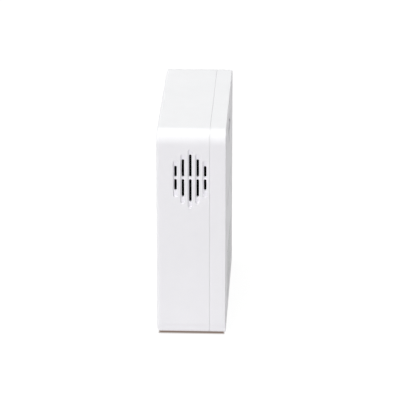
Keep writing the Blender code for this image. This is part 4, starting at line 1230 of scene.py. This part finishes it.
def make_capacitors():
    foot, long, radius = foot_of("capacitor_1")
    first = capacitor("can_1", foot, long, radius)
    fit(first, "case", "capacitor_can", "capacitor_1")
    second = copied(first, "can_2", foot_of("capacitor_2")[0] - foot)
    fit(second, "case", "capacitor_can", "capacitor_2")


def make_service_socket():
    """An open shell with a keying slot and a row of pins."""
    low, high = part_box("service_socket")
    socket = block("socket", low, high)
    rim = 0.8 * MM
    carve(socket, block("cavity", (low.x + rim, low.y + rim, low.z + rim),
                        (high.x - rim, high.y + RUN_OUT, high.z - rim)))
    middle = (low + high) / 2
    key_half = 1 * MM
    carve(socket, block("key", (low.x - RUN_OUT, middle.y, middle.z - key_half),
                        (low.x + rim + TINY, high.y + RUN_OUT, middle.z + key_half)))
    soften(socket, 0.1 * MM)
    smooth(socket)
    dress(socket, socket_white)
    pins, half, pitch, count = [], 0.25 * MM, 1.5 * MM, 4
    for step in range(count):
        z = middle.z + (step - (count - 1) / 2) * pitch
        pins.append(bar("pin", (middle.x - half, low.y + 0.5 * MM, z - half),
                        (middle.x + half, high.y - 0.7 * MM, z + half), 0.08 * MM, 2))
    joined([socket, dress(joined(pins), contact_nickel)])
    fit(socket, "case", "socket_white", "service_socket")


def make_sensor():
    """A rolled can, its perforated cap, and the saddle that holds it to the board."""
    foot, long, radius = foot_of("sensor_can", axis=0)
    edge, roll, groove = 0.15 * MM, 2 * MM, 0.5 * MM
    profile = [(radius - 0.6 * MM, 0), (radius - edge, edge), (radius, 0.6 * MM), (radius, long - 6 * MM)]
    profile += [(radius - groove * math.sin(math.pi * step / 8), long - 6 * MM + roll * step / 8)
                for step in range(1, 9)]
    profile += [(radius, long - 0.5 * MM), (radius - edge, long - 0.12 * MM), (radius - 0.5 * MM, long)]
    finish_piece(turned("can", profile, foot, "X", 56), sensor_steel, "sensor_steel", "sensor_can", angle=40)

    foot, long, radius = foot_of("sensor_cap", axis=0)
    cap = turned("cap", [(radius - 0.2 * MM, 0), (radius, 0.2 * MM), (radius, long - 0.7 * MM),
                         (radius - edge, long - 0.3 * MM), (radius - 0.6 * MM, long),
                         (radius - 1.4 * MM, long), (radius - 1.6 * MM, long - 0.3 * MM)], foot, "X", 56)
    breather, circle, count = hole_profile(0.7 * MM, 0, long), 2.6 * MM, 6
    holes = [turned("breather", breather, foot, "X", 16)]
    for step in range(count):
        angle = math.tau * step / count
        out = Vector((0, circle * math.cos(angle), circle * math.sin(angle)))
        holes.append(turned("breather", breather, foot + out, "X", 16))
    carve(cap, *holes)
    finish_piece(cap, black_plastic, "black_plastic", "sensor_cap", angle=40)

    low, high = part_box("sensor_saddle")
    saddle = block("saddle", low, high)
    bore = hole_profile(radius + GAP, 0, high.x - low.x)
    carve(saddle, turned("bore", bore, (low.x, foot.y, foot.z), "X", 56))
    near, far = 2 * MM, 4 * MM
    carve(saddle, *[block("relief", (start, low.y - RUN_OUT, low.z - RUN_OUT),
                          (end, low.y + 0.5 * MM, high.z + RUN_OUT))
                    for start, end in ((-far, -near), (near, far))])
    soften(saddle, 0.15 * MM)
    finish_piece(saddle, black_plastic, "black_plastic", "sensor_saddle")


def make_sounder():
    """The horn's cup with a rim at each end, its plate and crystal, and the rings that hold and seal them."""
    foot, long, radius = foot_of("sounder_housing", axis=0)
    inner, waist, edge = radius - 1.2 * MM, radius - 0.3 * MM, 0.15 * MM
    seat, step_at, wall = inner - 1 * MM, 5.2 * MM, 1.2 * MM
    cup = turned("cup", [(radius - 0.5 * MM, 0), (radius - edge, edge), (radius, 0.5 * MM),
                         (radius, 2.4 * MM), (waist, 2.6 * MM), (waist, 8.4 * MM), (radius, 8.6 * MM),
                         (radius, long - 0.25 * MM), (radius - 0.25 * MM, long), (inner + 0.2 * MM, long),
                         (inner, long - 0.2 * MM), (inner, step_at), (seat, step_at),
                         (seat, wall + 0.4 * MM), (seat - 0.4 * MM, wall)], foot, "X", 72)
    carve(cup, turned("back_vent", hole_profile(1.1 * MM, 0, wall), foot + Vector((0, 0, -5 * MM)), "X", 24))
    finish_piece(cup, black_plastic, "black_plastic", "sounder_housing", angle=40)

    for node, slot, finish in (("piezo_plate", "piezo_brass", piezo_brass),
                               ("piezo_ceramic", "piezo_ceramic", piezo_ceramic)):
        foot, long, radius = foot_of(node, axis=0)
        profile = bevelled(radius, 0, long, 0.06 * MM)
        profile += [(0.86 * radius, long), (0.85 * radius, long - 0.03 * MM)]
        finish_piece(turned(f"{node}_disc", profile, foot, "X", 72), finish, slot, node, angle=40)
    for node, slot, finish, width in (("sounder_ring", "black_plastic", black_plastic, 1.5 * MM),
                                      ("sounder_gasket", "black_foam", black_foam, 1.2 * MM)):
        foot, long, radius = foot_of(node, axis=0)
        ring = turned(f"{node}_made", bevelled(radius, 0, long, edge), foot, "X", 72)
        carve(ring, turned("bore", hole_profile(radius - width, 0, long), foot, "X", 72))
        finish_piece(ring, finish, slot, node, angle=40)


def make_switch():
    """A tact switch: a moulded body under a steel plate with four rivets, and its domed plunger."""
    low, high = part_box("switch_body")
    middle = (low + high) / 2
    plate_low, plate_high, margin = low.y + 0.15 * MM, low.y + 0.35 * MM, 0.1 * MM
    body = bar("tact", (low.x, plate_high, low.z), high, 0.15 * MM, 2)
    bore = [(2 * MM, low.y - RUN_OUT), (2 * MM, low.y + 2.2 * MM)]
    center = (middle.x, 0, middle.z)
    carve(body, turned("well", bore, center, "Y", 40))
    smooth(body)
    dress(body, black_plastic)
    plate = block("plate", (low.x + margin, plate_low, low.z + margin),
                  (high.x - margin, plate_high, high.z - margin))
    round_edges(plate, 0.4 * MM, 4, along(1))
    carve(plate, turned("window", bore, center, "Y", 40))
    rivet, reach = [(0.4 * MM, low.y + 0.1 * MM + TINY), (0.4 * MM, low.y + 0.3 * MM)], 2.2 * MM
    weld(plate, *[turned("rivet", rivet, (middle.x + x * reach, 0, middle.z + z * reach), "Y", 16)
                  for x in (-1, 1) for z in (-1, 1)])
    smooth(plate, 40)
    joined([body, dress(plate, sensor_steel)])
    fit(body, "case", "black_plastic", "switch_body")

    foot, long, radius = foot_of("switch_plunger")
    edge = 0.1 * MM
    plunger = turned("push_pin", [(radius - edge, 0), (radius, edge), (radius, long - 0.45 * MM),
                                  (radius - edge, long - 0.2 * MM), (radius - 0.4 * MM, long - 0.04 * MM),
                                  (radius - 0.8 * MM, long)], foot + Vector((0, long, 0)), "-Y", 40)
    finish_piece(plunger, black_plastic, "black_plastic", "switch_plunger", body="plunger")


SCREEN_PRESS = 0.08 * MM           # how far a filter cloth is pressed in, past its edge


def make_screens():
    """Filter cloths with round corners and a hot-pressed edge."""
    for node, name, axis, side, corner, hem in (("sounder_mesh", "dust_screen", 0, 1, 3 * MM, 0.4 * MM),
                                                ("inlet_filter", "inlet_screen", 1, -1, 2 * MM, 0.5 * MM)):
        screen = block(name, *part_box(node))
        round_edges(screen, corner, 8, along(axis))
        press = Vector()
        press[axis] = -side * SCREEN_PRESS
        with picked(screen, "FACE", lambda middle, normal: normal[axis] * side > 0.99):
            inset(hem)
            extrude(press)
        finish_piece(screen, filter_mesh, "filter_mesh", node)


def dress_leads():
    """The leads keep the frame's shapes; they only need insulation."""
    for finish, nodes in ((wire_red, ("lead_positive", "sounder_lead_live")),
                          (wire_black, ("lead_negative", "sounder_lead_common"))):
        for node in nodes:
            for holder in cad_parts[node].material_slots:
                holder.material = finish


make_front_shell()
make_back_cover()
make_rating_label()
make_screws("case_screw", head=SCREW_HEAD, recess=2 * MM)
make_screws("board_screw", head=1.6 * MM, recess=1.7 * MM)
make_test_button()
make_lights()
make_battery_door()
make_cells()
make_springs()
make_contacts()
make_circuit_board()
make_controller_chip()
make_inductor()
make_capacitors()
make_service_socket()
make_sensor()
make_sounder()
make_switch()
make_screens()
dress_leads()


# ---- Studio ----

GLOW = (0.9, 0.9, 0.9)
PAINTED_CONTACT_SHADOW = (0.19, 0.135, 0.105)   # painted contact shadow: the dark brown that the floor's glow turns to under the case
PAINTED_SHADOW_EDGE_X = HALF / MM - 4.6     # where the painted contact shadow ends and the glow starts to come back, in millimetres
PAINTED_SHADOW_EDGE_Y = BACK / MM - 1.3
PAINTED_SHADOW_FADE_X = 0.4                       # it comes back over 2.5 mm along X and 1 mm along Y
CAMERA_PLACE = (1.5422, 0.0657, 0.6227)
CAMERA_AIM = (-0.93827, -0.03849, -0.34374)
CAMERA_LENS = 263.84
SENSOR = 36                        # the camera's, as its lens in millimetres
FILL = 0.06                        # light from all sides


def stage_floor():
    """White paper on a table lit from below, whose glow fades out under the case into a painted contact
    shadow.
    """
    let_go()
    bpy.ops.mesh.primitive_plane_add(size=8, location=(0, 0, 0))
    floor = named("floor")
    paper = Finish("studio_paper", Base_Color=(0.15, 0.15, 0.15, 1), Roughness=0.9, Specular_IOR_Level=0.1,
                   Emission_Strength=1.0)
    x, y, _ = paper.axes()
    # painted contact shadow: this mask is 0 under the case, where the floor is painted dark brown in place of
    # the shade there, and 1 where the glow is full
    past = ((abs(x) - PAINTED_SHADOW_EDGE_X) * PAINTED_SHADOW_FADE_X).either(abs(y) - PAINTED_SHADOW_EDGE_Y)
    glow = paper.mix(paper.between(past, 0, 1, 0, 1), PAINTED_CONTACT_SHADOW, GLOW)
    dress(floor, paper.set(Emission_Color=glow))


def stage_light(name, toward, strength, spread, color):
    """A broad lamp far away, in the direction given, that spreads over some degrees."""
    data = bpy.data.lights.new(name, "SUN")
    data.energy = strength * math.pi
    data.color = color
    data.angle = math.radians(spread)
    light = bpy.data.objects.new(name, data)
    bpy.context.scene.collection.objects.link(light)
    light.rotation_euler = Vector(toward).to_track_quat("Z", "Y").to_euler()


def stage_camera():
    data = bpy.data.cameras.new("camera")
    data.sensor_width = SENSOR
    data.lens = CAMERA_LENS
    camera = bpy.data.objects.new("camera", data)
    bpy.context.scene.collection.objects.link(camera)
    camera.location = CAMERA_PLACE
    camera.rotation_euler = Vector(CAMERA_AIM).to_track_quat("-Z", "Y").to_euler()
    bpy.context.scene.camera = camera


def stage_world():
    world = bpy.data.worlds.new("studio")
    world.use_nodes = True
    world.node_tree.nodes["Background"].inputs["Color"].default_value = (1, 1, 1, 1)
    world.node_tree.nodes["Background"].inputs["Strength"].default_value = FILL
    bpy.context.scene.world = world
    bpy.context.scene.view_settings.view_transform = "Standard"


stage_floor()
stage_world()
stage_camera()
stage_light("overhead", (0.1, -0.2, 1), 1.08, 60, (0.98, 1, 0.97))
stage_light("key", (0.88, -0.24, 0.34), 0.285, 22, (1, 0.985, 1.01))
